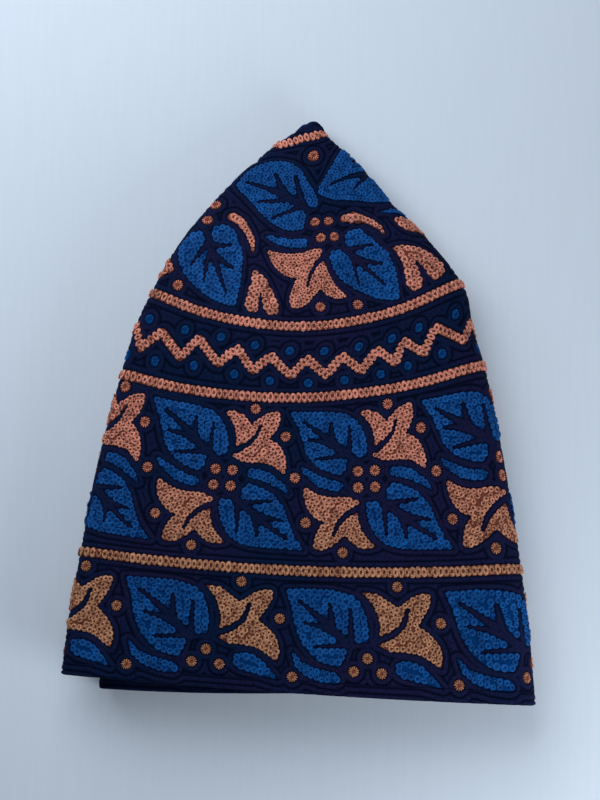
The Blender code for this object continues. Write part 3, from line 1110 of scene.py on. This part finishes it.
@dataclass(frozen=True)
class GroundCloth:
    """Navy cotton covered in rows of stitching, with painted shade in its grooves and on the blue and
    orange fills' beds.
    """

    navy: Colour = shade(0.0036, 0.0118, 0.047)
    # Painted shade for the grooves between the rows of stitching and between the strands.
    painted_groove_shade: Colour = shade(0.0005, 0.0025, 0.0120)
    plum: Colour = shade(0.0108, 0.0108, 0.048)
    # The beds under the fills: the threads' own colours, darkened as painted shade between the stitches.
    shaded_blue_bed: Colour = shade(0.0008, 0.030, 0.132)
    shaded_orange_bed: Colour = shade(0.17, 0.048, 0.030)
    row_pitch: float = 1.85
    strand_size: float = 0.55
    fuzz_size: float = 0.35
    stitch_depth: float = 0.22
    patch_size: float = 34.0  # of the navy and the plum

    def material(self, name: str) -> bpy.types.Material:
        """Builds the material from the distances kept on the mesh."""
        g = Graph(name)
        ground, blue, orange = g.attribute("ground"), g.attribute("blue"), g.attribute("orange")
        ridge = (ground * (math.pi / self.row_pitch)).math("SINE").math("ABSOLUTE")
        outside = ground.step(-0.15, 0.1)
        strands, fuzz = g.cells(self.strand_size), g.noise(self.fuzz_size)
        patches = g.noise(self.patch_size, 3.0)
        cloth = g.mix(patches.step(0.36, 0.64), self.navy, self.plum)
        # Painted shade: the cloth turns to the groove colour at the strands' edges and in the grooves
        # between the ridges.
        cloth = g.mix(strands.step(0.2, 1.3), cloth, self.painted_groove_shade)
        cloth = g.mix(ridge.step(0.05, 1.0), self.painted_groove_shade, cloth)
        # The beds show between the fill stitches, in their threads' colours darkened as painted shade.
        shaded_bed = g.mix((orange - blue).step(-0.2, 0.2), self.shaded_orange_bed, self.shaded_blue_bed)
        return g.finish(
            Base_Color=g.mix(outside, shaded_bed, cloth),
            Roughness=0.75 + 0.15 * fuzz,
            Normal=g.bump((1.0 - strands) * 0.5 + fuzz * 0.6, self.stitch_depth),
            Specular_IOR_Level=0.03,
        )


@dataclass(frozen=True)
class LiningCloth:
    """The plain inner side of the cloth."""

    colour: Colour = shade(0.005, 0.009, 0.028)
    dark: Colour = shade(0.003, 0.005, 0.016)
    weave_size: float = 0.6
    weave_depth: float = 0.1
    patch_size: float = 3.0

    def material(self, name: str) -> bpy.types.Material:
        """Builds a plain woven cotton."""
        g = Graph(name)
        weave, patches = g.cells(self.weave_size), g.noise(self.patch_size, 3.0)
        return g.finish(
            Base_Color=g.mix(patches.step(0.3, 0.7), self.dark, self.colour),
            Roughness=0.8 + 0.1 * patches,
            Normal=g.bump(weave, self.weave_depth),
            Specular_IOR_Level=0.12,
        )


@dataclass(frozen=True)
class StitchThread:
    """A glossy machine thread, lighter or darker at random from stitch to stitch, with painted shade and
    highlights on each stitch.
    """

    deep: Colour
    bright: Colour
    # The colour the bright end turns to towards the brim: yellower for the orange, and darker for both
    # threads, that darkening painted shade.
    brim_colour: Colour
    roughness: float = 0.42
    sheen: Colour = shade(1.0, 1.0, 1.0)
    sheen_weight: float = 0.2
    sheen_roughness: float = 0.25
    specular: float = 0.35
    strand_size: float = 0.28
    strand_depth: float = 0.09
    speckle_size: float = 0.42
    patch_size: float = 14.0

    def material(self, name: str) -> bpy.types.Material:
        """Builds the thread from the mesh's random lightness with painted shading, and its share of the way
        to the brim colour.
        """
        g = Graph(name)
        tone, brim_share = g.attribute("tone"), g.attribute("brim_share")
        strands, patches = g.noise(self.strand_size), g.noise(self.patch_size)
        speckle = g.noise(self.speckle_size).step(0.36, 0.64)
        # Towards the brim the bright colour turns yellower for the orange and darker for both threads, the
        # darkening painted shade.
        bright = g.mix(brim_share.step(0.0, 1.0), self.bright, self.brim_colour)
        # Painted shading from the stitch templates, with each stitch's random lightness, sets the mix of
        # the deep and the bright colour.
        mixed = tone * 0.45 + patches * 0.2 + speckle * 0.55 - 0.1
        return g.finish(
            Base_Color=g.mix(mixed.step(0.0, 1.0), self.deep, bright),
            Roughness=self.roughness + 0.2 * strands,
            Normal=g.bump(strands, self.strand_depth),
            Sheen_Weight=self.sheen_weight,
            Sheen_Roughness=self.sheen_roughness,
            Sheen_Tint=self.sheen,
            Specular_IOR_Level=self.specular,
        )


BLUE_THREAD = StitchThread(
    deep=shade(0.0003, 0.021, 0.102), bright=shade(0.007, 0.104, 0.372), brim_colour=shade(0.004, 0.093, 0.335),
    sheen=shade(0.0, 0.55, 1.0), sheen_weight=0.2, specular=0.07,
)  # fmt: skip
ORANGE_THREAD = StitchThread(
    deep=shade(0.095, 0.023, 0.013), bright=shade(0.88, 0.333, 0.240), brim_colour=shade(0.60, 0.295, 0.162),
    sheen=shade(1.0, 0.70, 0.55), sheen_weight=0.05, specular=0.15,
)  # fmt: skip


def mesh_piece(
    name: str,
    verts: Array,
    faces: Array,
    materials: Sequence[bpy.types.Material],
    values: dict[str, Array],
    face_material: Array | None = None,
) -> bpy.types.Object:
    """Makes one smooth mesh object from four-sided faces.

    Args:
        name: The piece's name.
        verts: Points in millimetres.
        faces: Four corner numbers a face.
        materials: The materials of the piece.
        values: A number for each point, by attribute name.
        face_material: The number of each face's material.

    Returns:
        The object, in metres.
    """
    mesh = bpy.data.meshes.new(name)
    mesh.vertices.add(len(verts))
    mesh.vertices.foreach_set("co", (verts * MM).astype(np.float32).ravel())
    mesh.loops.add(faces.size)
    mesh.loops.foreach_set("vertex_index", faces.astype(np.int32).ravel())
    mesh.polygons.add(len(faces))
    mesh.polygons.foreach_set("loop_start", np.arange(0, faces.size, 4, dtype=np.int32))
    if face_material is not None:
        mesh.polygons.foreach_set("material_index", face_material.astype(np.int32))
    for key, data in values.items():
        mesh.attributes.new(key, "FLOAT", "POINT").data.foreach_set("value", data.astype(np.float32))
    for material in materials:
        mesh.materials.append(material)
    mesh.update(calc_edges=True)
    mesh.shade_smooth()
    piece = bpy.data.objects.new(name, mesh)
    bpy.context.scene.collection.objects.link(piece)
    log.info("%s: %d triangles", name, 2 * len(faces))
    return piece


@dataclass
class ClothSkin:
    """A stretch of the cap's cloth with its embroidery's relief, its plain inner side and its edges."""

    name: str
    chart: Chart
    start: float
    end: float
    node: str
    slot: str
    row_step: float = 0.45
    shown_step: float = 0.45
    pressed_step: float = 1.1
    hidden_step: float = 4.0
    inner_rows: int = 14
    pad_height: float = 0.42
    ridge_height: float = 0.42
    ridge_pitch: float = 1.85
    pad_edge: float = 0.1  # the pads rise from this distance outside the motifs
    pad_rise: float = 0.9  # over this distance
    floor_sink: float = 0.55
    floor_clearance: float = 0.02
    lining_clearance: float = 0.6
    thickness: float = 2.0
    girth_past: float = 10.0  # how far past the middle lies the row whose girth sets the columns
    round_edge: bool = False
    edge_steps: int = 5
    edge_bulge: float = 0.45
    edge_row: float = 0.4  # width of a row of the rounded edge
    closed_tip: bool = False

    def relief(self, away: Distances) -> Array:
        """Height of the quilting above the plain outer side: padded motifs in a ground of round ridges."""
        d = away["ground"]
        pad = self.pad_height * ease((self.pad_edge - d) / self.pad_rise)
        wave = abs(np.sin(math.pi * np.maximum(d, 0.0) / self.ridge_pitch))
        return np.where(d > 0, self.ridge_height * np.sqrt(wave + 1e-6), pad)

    def outer(self, cap: FoldedCap, share: Array, reach: Array) -> tuple[Places, Array, Distances]:
        """The embroidered outer side at some places.

        Args:
            cap: The folded cloth.
            share: Shares round the cap.
            reach: Reaches from the point.

        Returns:
            The places, the points of the outer side, and the chart's distances there.
        """
        places = cap.at(share, reach)
        away = self.chart.distances(cap, share, reach)
        height = self.relief(away) * np.minimum(places.show + 0.1, 1.0) - self.floor_sink * places.pressed
        point = places.point + places.normal * (self.thickness / 2 + height)[..., None]
        point[..., 2] = np.maximum(point[..., 2], self.floor_clearance)
        return places, point, away

    def build(self, cap: FoldedCap, materials: Sequence[bpy.types.Material]) -> bpy.types.Object:
        """Builds the piece.

        Args:
            cap: The folded cloth.
            materials: The outer and the inner cloth.

        Returns:
            The piece, riding on the cap's body.
        """
        girth_reach = (self.start + self.end) / 2 + self.girth_past
        shares = cap.column_shares(girth_reach, self.shown_step, self.pressed_step, self.hidden_step)
        rows = max(3, int(math.ceil((self.end - self.start) / self.row_step)) + 1)
        reach, share = np.meshgrid(np.linspace(self.start, self.end, rows), shares, indexing="ij")
        _, outside, away = self.outer(cap, share, reach)
        back = np.linspace(self.end, self.start, self.inner_rows)
        in_reach, in_share = np.meshgrid(back, shares, indexing="ij")
        inner = cap.at(in_share, in_reach)
        inside = inner.point - inner.normal * (self.thickness / 2)
        inside[..., 2] = np.maximum(inside[..., 2], self.lining_clearance)
        edge = self.rounded_edge(outside[-1], inside[0]) if self.round_edge else outside[:0]
        grid = np.concatenate([outside, edge, inside])
        total, columns = len(grid), len(shares)
        last = total - 1 if self.closed_tip else total
        first = np.arange(last)[:, None] * columns
        after = ((np.arange(last) + 1) % total)[:, None] * columns
        k, n = np.arange(columns)[None, :], (np.arange(columns)[None, :] + 1) % columns
        faces = np.stack([first + k, after + k, after + n, first + n], axis=-1).reshape(-1, 4)
        lined = np.repeat(np.arange(last) >= len(outside) + len(edge), columns)
        extra = (total - rows) * columns
        values = {key: np.r_[data.ravel(), np.full(extra, FAR)] for key, data in away.items()}
        if self.round_edge:
            depth = np.arange(1, len(edge) + 1)[:, None] * self.edge_row + away["ground"][-1]
            values["ground"][rows * columns : (rows + len(edge)) * columns] = depth.ravel()
        piece = mesh_piece(self.name, grid.reshape(-1, 3), faces, materials, values, lined)
        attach(piece, "root")
        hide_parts(self.node)
        return piece

    def rounded_edge(self, outer: Array, inner: Array) -> Array:
        """Rows that carry the cloth round its open edge, from the outer side to the inner."""
        rows = []
        middle, half = (outer + inner) / 2, (outer - inner) / 2
        size = np.linalg.norm(half, axis=1, keepdims=True)
        for k in range(1, self.edge_steps + 1):
            angle = math.pi * k / (self.edge_steps + 1)
            row = middle + half * math.cos(angle)
            row[:, 1:2] -= self.edge_bulge * size * math.sin(angle)
            rows.append(row)
        return np.array(rows)


class Template(NamedTuple):
    """One stitch in its own plane: points, faces, and each point's painted shading, how much lighter than
    the stitch it is.
    """

    points: Array
    faces: Array
    tone: Array


def loop_template(size: tuple[float, float], wire: float, sides: tuple[int, int], lift: float) -> Template:
    """A closed loop of thread.

    Args:
        size: Half the loop's length and half its width, to the middle of the wire.
        wire: The wire's half thickness.
        sides: Sides round the loop and round the wire.
        lift: Height of the loop's middle over the cloth.

    Returns:
        The template, with painted shade at the wire's foot and a painted highlight on its top.
    """
    u, v = (np.arange(n) / n * TURN + math.pi / 2 for n in sides)
    uu, vv = (a.ravel() for a in np.meshgrid(u, v, indexing="ij"))
    out, up = wire * np.cos(vv), wire * np.sin(vv)
    points = np.stack([(size[0] + out) * np.cos(uu), (size[1] + out) * np.sin(uu), lift + up], axis=1)
    i, j = (a.ravel() for a in np.meshgrid(np.arange(sides[0]), np.arange(sides[1]), indexing="ij"))
    i_next, j_next = (i + 1) % sides[0], (j + 1) % sides[1]
    corners = (i * sides[1] + j, i_next * sides[1] + j, i_next * sides[1] + j_next, i * sides[1] + j_next)
    # Painted shading round the wire: light on its top, dark at its foot.
    return Template(points, np.stack(corners, axis=1), 0.45 + 0.45 * np.sin(vv))


class Ring(NamedTuple):
    """One ring of a stitch's points: its radius as a share of the stitch, its height and its painted
    shading.
    """

    radius: float
    height: float
    tone: float


def pit_template(
    rings: Sequence[Ring], sides: int = 8, stretch: tuple[float, float] = (1.0, 1.0)
) -> Template:
    """A looped stitch pulled tight: a small pit in a raised rim of thread.

    Args:
        rings: The rings, from the pit outwards.
        sides: Sides round the pit, an even number.
        stretch: How much longer and wider than its radius the stitch is.

    Returns:
        The template.
    """
    u = np.arange(sides) / sides * TURN
    x, y = stretch[0] * np.cos(u), stretch[1] * np.sin(u)
    circles = [np.stack([r.radius * x, r.radius * y, 0 * u + r.height], axis=1) for r in rings]
    k = np.arange(sides)
    n = (k + 1) % sides
    floor = [np.array([(j, j + 1, sides - 2 - j, sides - 1 - j) for j in range(sides // 2 - 1)])]
    starts = np.arange(len(rings) - 1) * sides
    strips = [np.stack([s + k, s + sides + k, s + sides + n, s + n], axis=1) for s in starts]
    tone = np.repeat([r.tone for r in rings], sides)
    return Template(np.concatenate(circles), np.concatenate(floor + strips), tone)


# The last value of each ring is painted shading: dark in the pit, light on the rim, darker at the foot.
BLUE_PIT = (
    Ring(0.12, 0.02, -0.7), Ring(0.23, 0.06, -0.4), Ring(0.40, 0.32, 0.2), Ring(0.56, 0.32, 0.25),
    Ring(0.66, -0.06, -0.1),
)  # fmt: skip
LINE_PIT = (
    Ring(0.20, 0.02, -1.3), Ring(0.34, 0.08, -0.8), Ring(0.58, 0.40, 0.2), Ring(0.96, 0.40, 0.25),
    Ring(1.16, -0.04, -0.2),
)  # fmt: skip
ORANGE_PIT = (
    Ring(0.09, 0.02, -1.4), Ring(0.19, 0.08, -1.0), Ring(0.31, 0.30, 0.1), Ring(0.56, 0.32, 0.2),
    Ring(0.66, -0.04, -0.2),
)  # fmt: skip


@dataclass
class StitchSet:
    """Many like stitches laid on the cloth, as one piece."""

    name: str
    skin: ClothSkin
    share: Array
    reach: Array
    seed: int
    heading: Array | None = None
    scale: Array | float = 1.0
    size_jitter: float = 0.05
    tilt: float = 0.1
    lean: float = 0.0  # how far each stitch's front end rises, as it lies on the next one
    ruffle: float = 0.05  # how far its points stray, in millimetres
    tone_spread: float = 0.22
    brim_fade: float = 70.0  # reach over which, below the upper line, the orange grows yellower and both threads darker, that darkening painted shade
    nudge: float = 0.4  # how far aside the way round the cap is taken
    floor_clearance: float = 0.01

    def build(self, cap: FoldedCap, template: Template, material: bpy.types.Material) -> bpy.types.Object:
        """Builds the stitches.

        Args:
            cap: The folded cloth.
            template: The stitch, whose x runs along its heading.
            material: The thread.

        Returns:
            The piece.
        """
        random = np.random.default_rng(self.seed)
        count = len(self.share)
        places, point, _ = self.skin.outer(cap, self.share, self.reach)
        ahead = self.skin.outer(cap, self.share + self.nudge / cap.girth_at(self.reach), self.reach)[1]
        across = ahead - point
        normal = places.normal
        across -= normal * np.sum(across * normal, axis=1, keepdims=True)
        across /= np.linalg.norm(across, axis=1, keepdims=True)
        down = np.cross(across, normal)
        heading = random.uniform(0, TURN, count) if self.heading is None else self.heading
        c, s = np.cos(heading)[:, None], np.sin(heading)[:, None]
        free = (1 - places.pressed)[:, None]
        rise = self.lean + self.tilt * random.normal(0, 1, (count, 1)) * free
        along = across * c + down * s + normal * rise
        wide = down * c - across * s + normal * self.tilt * random.normal(0, 1, (count, 1)) * free
        scale = (self.scale * (1 + self.size_jitter * random.normal(0, 1, count)))[:, None, None]
        verts = (
            point[:, None, :]
            + along[:, None, :] * template.points[None, :, 0:1] * scale
            + wide[:, None, :] * template.points[None, :, 1:2] * scale
            + normal[:, None, :] * template.points[None, :, 2:3]
        )
        verts = verts + random.normal(0, self.ruffle, verts.shape)
        verts[..., 2] = np.maximum(verts[..., 2], self.floor_clearance)
        corners = template.faces[:, ::-1]  # along, wide and normal make a left-handed set
        size = len(template.points)
        faces = (np.arange(count)[:, None, None] * size + corners[None]).reshape(-1, 4)
        # Each stitch's random lightness plus the painted shading of its template.
        tone = np.clip(random.normal(0.5, self.tone_spread, count), 0, 1)[:, None] + template.tone[None]
        brim_share = np.repeat(ease((self.reach - UPPER_LINE.reach) / self.brim_fade), size)
        values = {"tone": tone.ravel(), "brim_share": brim_share}
        piece = mesh_piece(self.name, verts.reshape(-1, 3), faces, [material], values)
        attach(piece, "root")
        return piece


@dataclass
class PitStitches:
    """The looped stitches that fill the motifs of one colour, in rows that follow each motif's edge."""

    name: str
    thread: Thread
    skin: ClothSkin
    pit: tuple[Ring, ...]
    seed: int
    sides: int = 8
    pressed_sides: int = 6
    start_margin: float = 0.3  # how far from the cloth's two edges the first and the last stitch lie
    end_margin: float = 0.2

    def build(self, cap: FoldedCap, material: bpy.types.Material) -> None:
        """Lays the stitches on the cloth where it shows."""
        chart = self.skin.chart
        filled = [s for s in chart.shapes if s.thread is self.thread and not isinstance(s, Dot)]
        walks = [(stitch_walk(s), s.stitch) for s in filled]
        if not walks:
            return
        places = np.concatenate([np.column_stack([w[:, :2], w[:, 2] * stitch]) for w, stitch in walks])
        shift = np.array([chart.repeat or 0.0, 0.0, 0.0])
        x, y, size = np.concatenate([places + k * shift for k in chart.copies()]).T
        share, reach = chart.cap_place(cap, x, y)
        keep = (reach > self.skin.start + self.start_margin) & (reach < self.skin.end - self.end_margin)
        share, reach, size = share[keep] % 1.0, reach[keep], size[keep]
        places = cap.at(share, reach)
        shown, pressed = places.show > SHOWN, places.pressed > 0.5
        under = f"{self.name}_under"
        sets = ((self.name, shown & ~pressed, self.sides), (under, shown & pressed, self.pressed_sides))
        for name, wanted, sides in sets:
            if wanted.any():
                stitches = StitchSet(
                    name, self.skin, share[wanted], reach[wanted], self.seed, scale=size[wanted]
                )
                stitches.build(cap, pit_template(self.pit, sides), material)


@dataclass
class Rosettes:
    """The dots: each a ring of petal loops round a small pit."""

    name: str
    thread: Thread
    skin: ClothSkin
    seed: int
    petals: int = 12
    pit: float = 0.42
    petal_half_width: float = 0.07
    wire: float = 0.16
    wire_sides: tuple[int, int] = (7, 3)
    lift: float = 0.14
    swell: float = 1.07
    twist: float = 0.37  # how far each rosette is turned against the last, in petals

    def build(self, cap: FoldedCap, material: bpy.types.Material) -> None:
        """Lays the rosettes on the cloth where it shows, a little past their beds."""
        dots = self.skin.chart.dots(cap, self.thread)
        if not len(dots):
            return
        number, petal = np.divmod(np.arange(len(dots) * self.petals), self.petals)
        heading = TURN * (petal + self.twist * number) / self.petals
        share, reach, girth, radius = dots[number].T
        radius = radius * self.swell
        away = (radius + self.pit) / 2
        share, reach = share + away * np.cos(heading) / girth, reach + away * np.sin(heading)
        keep = (cap.at(share, reach).show > SHOWN) & (reach > self.skin.start) & (reach < self.skin.end)
        share, reach, heading = share[keep] % 1.0, reach[keep], heading[keep]
        half = (radius[0] - self.pit) / 2 - self.wire
        petal_loop = loop_template((half, self.petal_half_width), self.wire, self.wire_sides, self.lift)
        petals = StitchSet(self.name, self.skin, share, reach, self.seed, heading, tilt=0.05)
        petals.build(cap, petal_loop, material)


@dataclass
class ChainLine:
    """A line of wide chain stitch: links side by side along a path, each pulled tight round a pit."""

    name: str
    skin: ClothSkin
    seed: int
    pitch: float = 1.75
    link: tuple[float, float] = (0.88, 1.4)
    link_sides: int = 10
    shown: float = 0.3
    look_ahead: float = 0.3

    def build(self, cap: FoldedCap, share: Array, reach: Array, material: bpy.types.Material) -> None:
        """Builds the chain.

        Args:
            cap: The folded cloth.
            share: Shares of the path's points, rising.
            reach: Reaches of the path's points.
            material: The thread.
        """
        run = np.r_[0.0, np.hypot(np.diff(share) * cap.girth_at(reach)[1:], np.diff(reach)).cumsum()]
        count = int(round(run[-1] / self.pitch))
        at = (np.arange(count) + 0.5) / count * run[-1]
        ahead = at + self.look_ahead
        link_share, link_reach = np.interp(at, run, share), np.interp(at, run, reach)
        go_share = np.interp(ahead, run, share) - link_share
        go_reach = np.interp(ahead, run, reach) - link_reach
        heading = np.arctan2(go_reach, go_share * cap.girth_at(link_reach))
        keep = cap.at(link_share, link_reach).show > self.shown
        share, reach, heading = link_share[keep] % 1.0, link_reach[keep], heading[keep]
        links = StitchSet(self.name, self.skin, share, reach, self.seed, heading, tilt=0.05, lean=0.12)
        links.build(cap, pit_template(LINE_PIT, self.link_sides, self.link), material)


@dataclass
class Finishes:
    """The materials that the pieces share."""

    cloth: list[bpy.types.Material]
    blue: bpy.types.Material
    orange: bpy.types.Material

    @classmethod
    def make(cls) -> Finishes:
        """Builds every material once."""
        cloth = [GroundCloth().material("navy_stitched_cloth"), LiningCloth().material("plain_lining")]
        return cls(cloth, BLUE_THREAD.material("blue_thread"), ORANGE_THREAD.material("orange_thread"))


def dress_motifs(name: str, skin: ClothSkin, cap: FoldedCap, finishes: Finishes, seed: int) -> None:
    """Adds the blue and orange stitches and the rosettes of one stretch of the cap.

    Args:
        name: Start of the pieces' names.
        skin: The cloth that carries them.
        cap: The folded cloth.
        finishes: The materials.
        seed: Seed for the small differences between stitches.
    """
    blue = PitStitches(f"{name}_blue_stitches", Thread.BLUE, skin, BLUE_PIT, seed)
    orange = PitStitches(f"{name}_orange_stitches", Thread.ORANGE, skin, ORANGE_PIT, seed + 1)
    blue.build(cap, finishes.blue)
    orange.build(cap, finishes.orange)
    Rosettes(f"{name}_orange_dots", Thread.ORANGE, skin, seed + 2).build(cap, finishes.orange)


@dataclass
class Crown:
    """The round top with its leaves and its tip ring."""

    chart_half: float = 76.0

    def build(self, cap: FoldedCap, finishes: Finishes) -> None:
        """Builds the crown's cloth and embroidery."""
        half = self.chart_half
        chart = DiscChart(CROWN_SHAPES, (TIP_RING, SEAM_LINE), (-half, -half), (half, half))
        skin = ClothSkin(
            "crown_cloth", chart, cap.tip_reach, SEAM_REACH, "crown", "crown_cloth", closed_tip=True
        )
        skin.build(cap, finishes.cloth)
        dress_motifs("crown", skin, cap, finishes, seed=11)
        tip = ChainLine("crown_tip_ring", skin, 14, pitch=1.5, link=(0.75, 1.35))
        tip.build(cap, AROUND, TIP_RING.reach_at(AROUND), finishes.orange)


@dataclass
class ZigzagBand:
    """The narrow band under the crown, with its zigzag between two chain lines."""

    waves: int = 39
    wave_width: float = 11.1
    rows: tuple[float, float] = (-14.0, 14.0)
    rise: float = 2.8
    half_width: float = 1.1
    dot_radius: float = 1.4
    upper_dot: tuple[float, float] = (4.45, -4.9)
    lower_dot: tuple[float, float] = (0.6, 5.0)

    def build(self, cap: FoldedCap, finishes: Finishes) -> None:
        """Builds the band's cloth, zigzag, dots and lines."""
        half, rise, wide = self.wave_width / 2, self.rise, self.half_width
        zigzag = Stroke(((0.0, -rise, wide), (half, rise, wide), (2 * half, -rise, wide)), Thread.ORANGE)
        dots = (Dot(*place, self.dot_radius, Thread.BLUE) for place in (self.upper_dot, self.lower_dot))
        lines = (SEAM_LINE, UPPER_LINE)
        chart = WaveChart.of_cells((zigzag, *dots), lines, self.wave_width, self.rows, repeats=self.waves)
        skin = ClothSkin(
            "zigzag_band_cloth", chart, SEAM_REACH, UPPER_LINE.reach, "side_wall", "wall_cloth",
            inner_rows=6,
        )  # fmt: skip
        skin.build(cap, finishes.cloth)
        Rosettes("zigzag_dots", Thread.BLUE, skin, 23).build(cap, finishes.blue)
        corners = np.arange(2 * self.waves + 1)
        x = corners * half
        x[-1] -= 1e-6  # keeps the last corner from counting as the first
        share, reach = chart.cap_place(cap, x, -rise * np.cos(np.pi * corners))
        orange = finishes.orange
        ChainLine("zigzag_line", skin, 24, pitch=1.6, link=(0.85, 1.3)).build(cap, share, reach, orange)
        ChainLine("crown_seam_line", skin, 25).build(cap, AROUND, SEAM_LINE.reach_at(AROUND), orange)
        ChainLine("upper_line", skin, 26).build(cap, AROUND, UPPER_LINE.reach_at(AROUND), orange)


@dataclass
class MainBand:
    """The wide band of paired leaves and fleurs."""

    middle: float = 121.2
    rows: tuple[float, float] = (-27.0, 29.0)
    pulls: tuple[Pull, ...] = (Pull(0.012, 2.2, 0.016), Pull(0.253, -2.6, 0.024))

    def build(self, cap: FoldedCap, finishes: Finishes) -> None:
        """Builds the band's cloth and motifs."""
        lines = (UPPER_LINE, LOWER_LINE)
        chart = BandChart.of_cells(MAIN_MOTIF, lines, CELL, self.rows, middle=self.middle, pulls=self.pulls)
        skin = ClothSkin(
            "main_band_cloth", chart, UPPER_LINE.reach, LOWER_LINE.reach, "side_wall", "wall_cloth"
        )
        skin.build(cap, finishes.cloth)
        dress_motifs("main_band", skin, cap, finishes, seed=31)


# The chart of the lower band, which the hem shares, and where the folds draw its motifs along it.
LOWER_MIDDLE = 174.5
LOWER_ROWS = (-28.0, 13.0)
LOWER_PULLS = (Pull(0.012, 1.7, 0.016), Pull(0.25, -4.2, 0.045))


@dataclass
class LowerBand:
    """The band of single leaves and fleurs above the hem, with the chain line over it."""

    def build(self, cap: FoldedCap, finishes: Finishes) -> None:
        """Builds the band's cloth, motifs and line."""
        chart = BandChart.of_cells(
            LOWER_MOTIF, (LOWER_LINE,), CELL, LOWER_ROWS, middle=LOWER_MIDDLE, pulls=LOWER_PULLS
        )
        skin = ClothSkin(
            "lower_band_cloth", chart, LOWER_LINE.reach, HEM_REACH, "side_wall", "wall_cloth", inner_rows=8
        )
        skin.build(cap, finishes.cloth)
        dress_motifs("lower_band", skin, cap, finishes, seed=41)
        ChainLine("lower_line", skin, 45).build(cap, AROUND, LOWER_LINE.reach_at(AROUND), finishes.orange)


@dataclass
class HemChart(BandChart):
    """Plain rows of navy stitching along the hem."""

    first_row: float = 1.3  # how far from a motif the hem's upper edge counts as

    def distances(self, cap: FoldedCap, share: Array, reach: Array) -> Distances:
        """Distances that make the rows of stitching run along the brim."""
        away = super().distances(cap, share, reach)
        away["ground"] = np.minimum(np.maximum(away["ground"], 0.0), reach - HEM_REACH + self.first_row)
        return away


@dataclass
class Hem:
    """The turned navy band round the open brim."""

    thickness: float = 2.2
    edge_room: float = 0.8  # what the rounded edge takes of the hem's width

    def build(self, cap: FoldedCap, finishes: Finishes) -> None:
        """Builds the hem, a little thicker than the wall and rounded at the brim."""
        chart = HemChart.of_cells(LOWER_MOTIF, (), CELL, LOWER_ROWS, middle=LOWER_MIDDLE, pulls=LOWER_PULLS)
        skin = ClothSkin(
            "hem_cloth", chart, HEM_REACH, BRIM_REACH - self.edge_room, "hem", "hem_cloth",
            thickness=self.thickness, inner_rows=3, round_edge=True,
        )  # fmt: skip
        skin.build(cap, finishes.cloth)


@dataclass
class Studio:
    """The pale tabletop, the soft light and the camera at the photograph's angle."""

    camera_distance: float = 0.514
    camera_elevation_deg: float = 80.0
    camera_lens: float = 72.9
    sensor_width: float = 36.0
    nearest: float = 0.01
    furthest: float = 20.0
    target: tuple[float, float, float] = (0.0003, 0.0012, 0.012)
    floor_size: float = 4.0
    floor_drop: float = 0.00005
    floor_colour: Colour = shade(0.675, 0.765, 0.865)
    floor_roughness: float = 0.75
    grain_share: float = 0.985  # of the floor's brightness, in its streaks
    light_colour: tuple[float, float, float] = (0.93, 0.96, 1.0)
    key_place: tuple[float, float, float] = (-0.17, 0.27, 0.27)
    key_size: float = 0.5
    key_power: float = 1.95
    side_place: tuple[float, float, float] = (0.22, -0.22, 0.12)
    side_size: float = 0.2
    side_power: float = 0.66
    sky_colour: Colour = shade(0.80, 0.88, 1.0)
    sky_strength: float = 0.15

    def build(self) -> None:
        """Builds the stage. Colours are shown as they are, so that the threads keep their strength."""
        bpy.context.scene.view_settings.view_transform = "Standard"
        self.floor()
        self.lights()
        self.camera()

    def floor(self) -> None:
        """A large plane with the faint streaks of a pale laminate."""
        half = self.floor_size / 2
        mesh = bpy.data.meshes.new("tabletop")
        corners = [(-half, -half, 0), (half, -half, 0), (half, half, 0), (-half, half, 0)]
        mesh.from_pydata(corners, [], [(0, 1, 2, 3)])
        table = bpy.data.objects.new("tabletop", mesh)
        table.location.z = -self.floor_drop
        bpy.context.scene.collection.objects.link(table)
        g = Graph("pale_tabletop")
        grain = g.noise(1.6, 3.0, stretch=Vector((1.0, 0.06, 1.0)))
        light = self.floor_colour
        dull = shade(*(v * self.grain_share for v in light[:3]))
        streaks = g.mix(grain.step(0.35, 0.65), dull, light)
        mesh.materials.append(g.finish(Base_Color=streaks, Roughness=self.floor_roughness))

    def lights(self) -> None:
        """A broad soft light beyond the cap's point, a weaker one at the lower right, and a pale sky."""
        self.area("window", self.key_place, self.key_size, self.key_power)
        self.area("side_window", self.side_place, self.side_size, self.side_power)
        world = bpy.data.worlds.new("pale_sky")
        world.use_nodes = True
        sky = world.node_tree.nodes["Background"]
        sky.inputs["Color"].default_value = self.sky_colour
        sky.inputs["Strength"].default_value = self.sky_strength
        bpy.context.scene.world = world

    def area(self, name: str, place: tuple[float, float, float], size: float, power: float) -> None:
        """One square area light that looks at the cap."""
        light = bpy.data.lights.new(name, "AREA")
        light.energy, light.size, light.color = power, size, self.light_colour
        lamp = bpy.data.objects.new(name, light)
        lamp.location = place
        lamp.rotation_euler = (Vector(self.target) - Vector(place)).to_track_quat("-Z", "Y").to_euler()
        bpy.context.scene.collection.objects.link(lamp)

    def camera(self) -> None:
        """The camera, on the brim's side of the cap and high above it."""
        lens = bpy.data.cameras.new("photo_camera")
        lens.lens, lens.sensor_width = self.camera_lens, self.sensor_width
        lens.clip_start, lens.clip_end = self.nearest, self.furthest
        camera = bpy.data.objects.new("photo_camera", lens)
        rise = math.radians(self.camera_elevation_deg)
        away = Vector((0.0, -math.cos(rise), math.sin(rise))) * self.camera_distance
        camera.location = Vector(self.target) + away
        camera.rotation_euler = (-away).to_track_quat("-Z", "Y").to_euler()
        bpy.context.scene.collection.objects.link(camera)
        bpy.context.scene.camera = camera


def main() -> None:
    """Loads the frame, builds the cap's pieces in order, and sets the stage."""
    logging.basicConfig(level=logging.INFO, format="%(message)s")
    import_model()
    Studio().build()
    cap = FoldedCap()
    finishes = Finishes.make()
    for part in (Crown(), ZigzagBand(), MainBand(), LowerBand(), Hem()):
        part.build(cap, finishes)


if __name__ == "__main__":
    main()
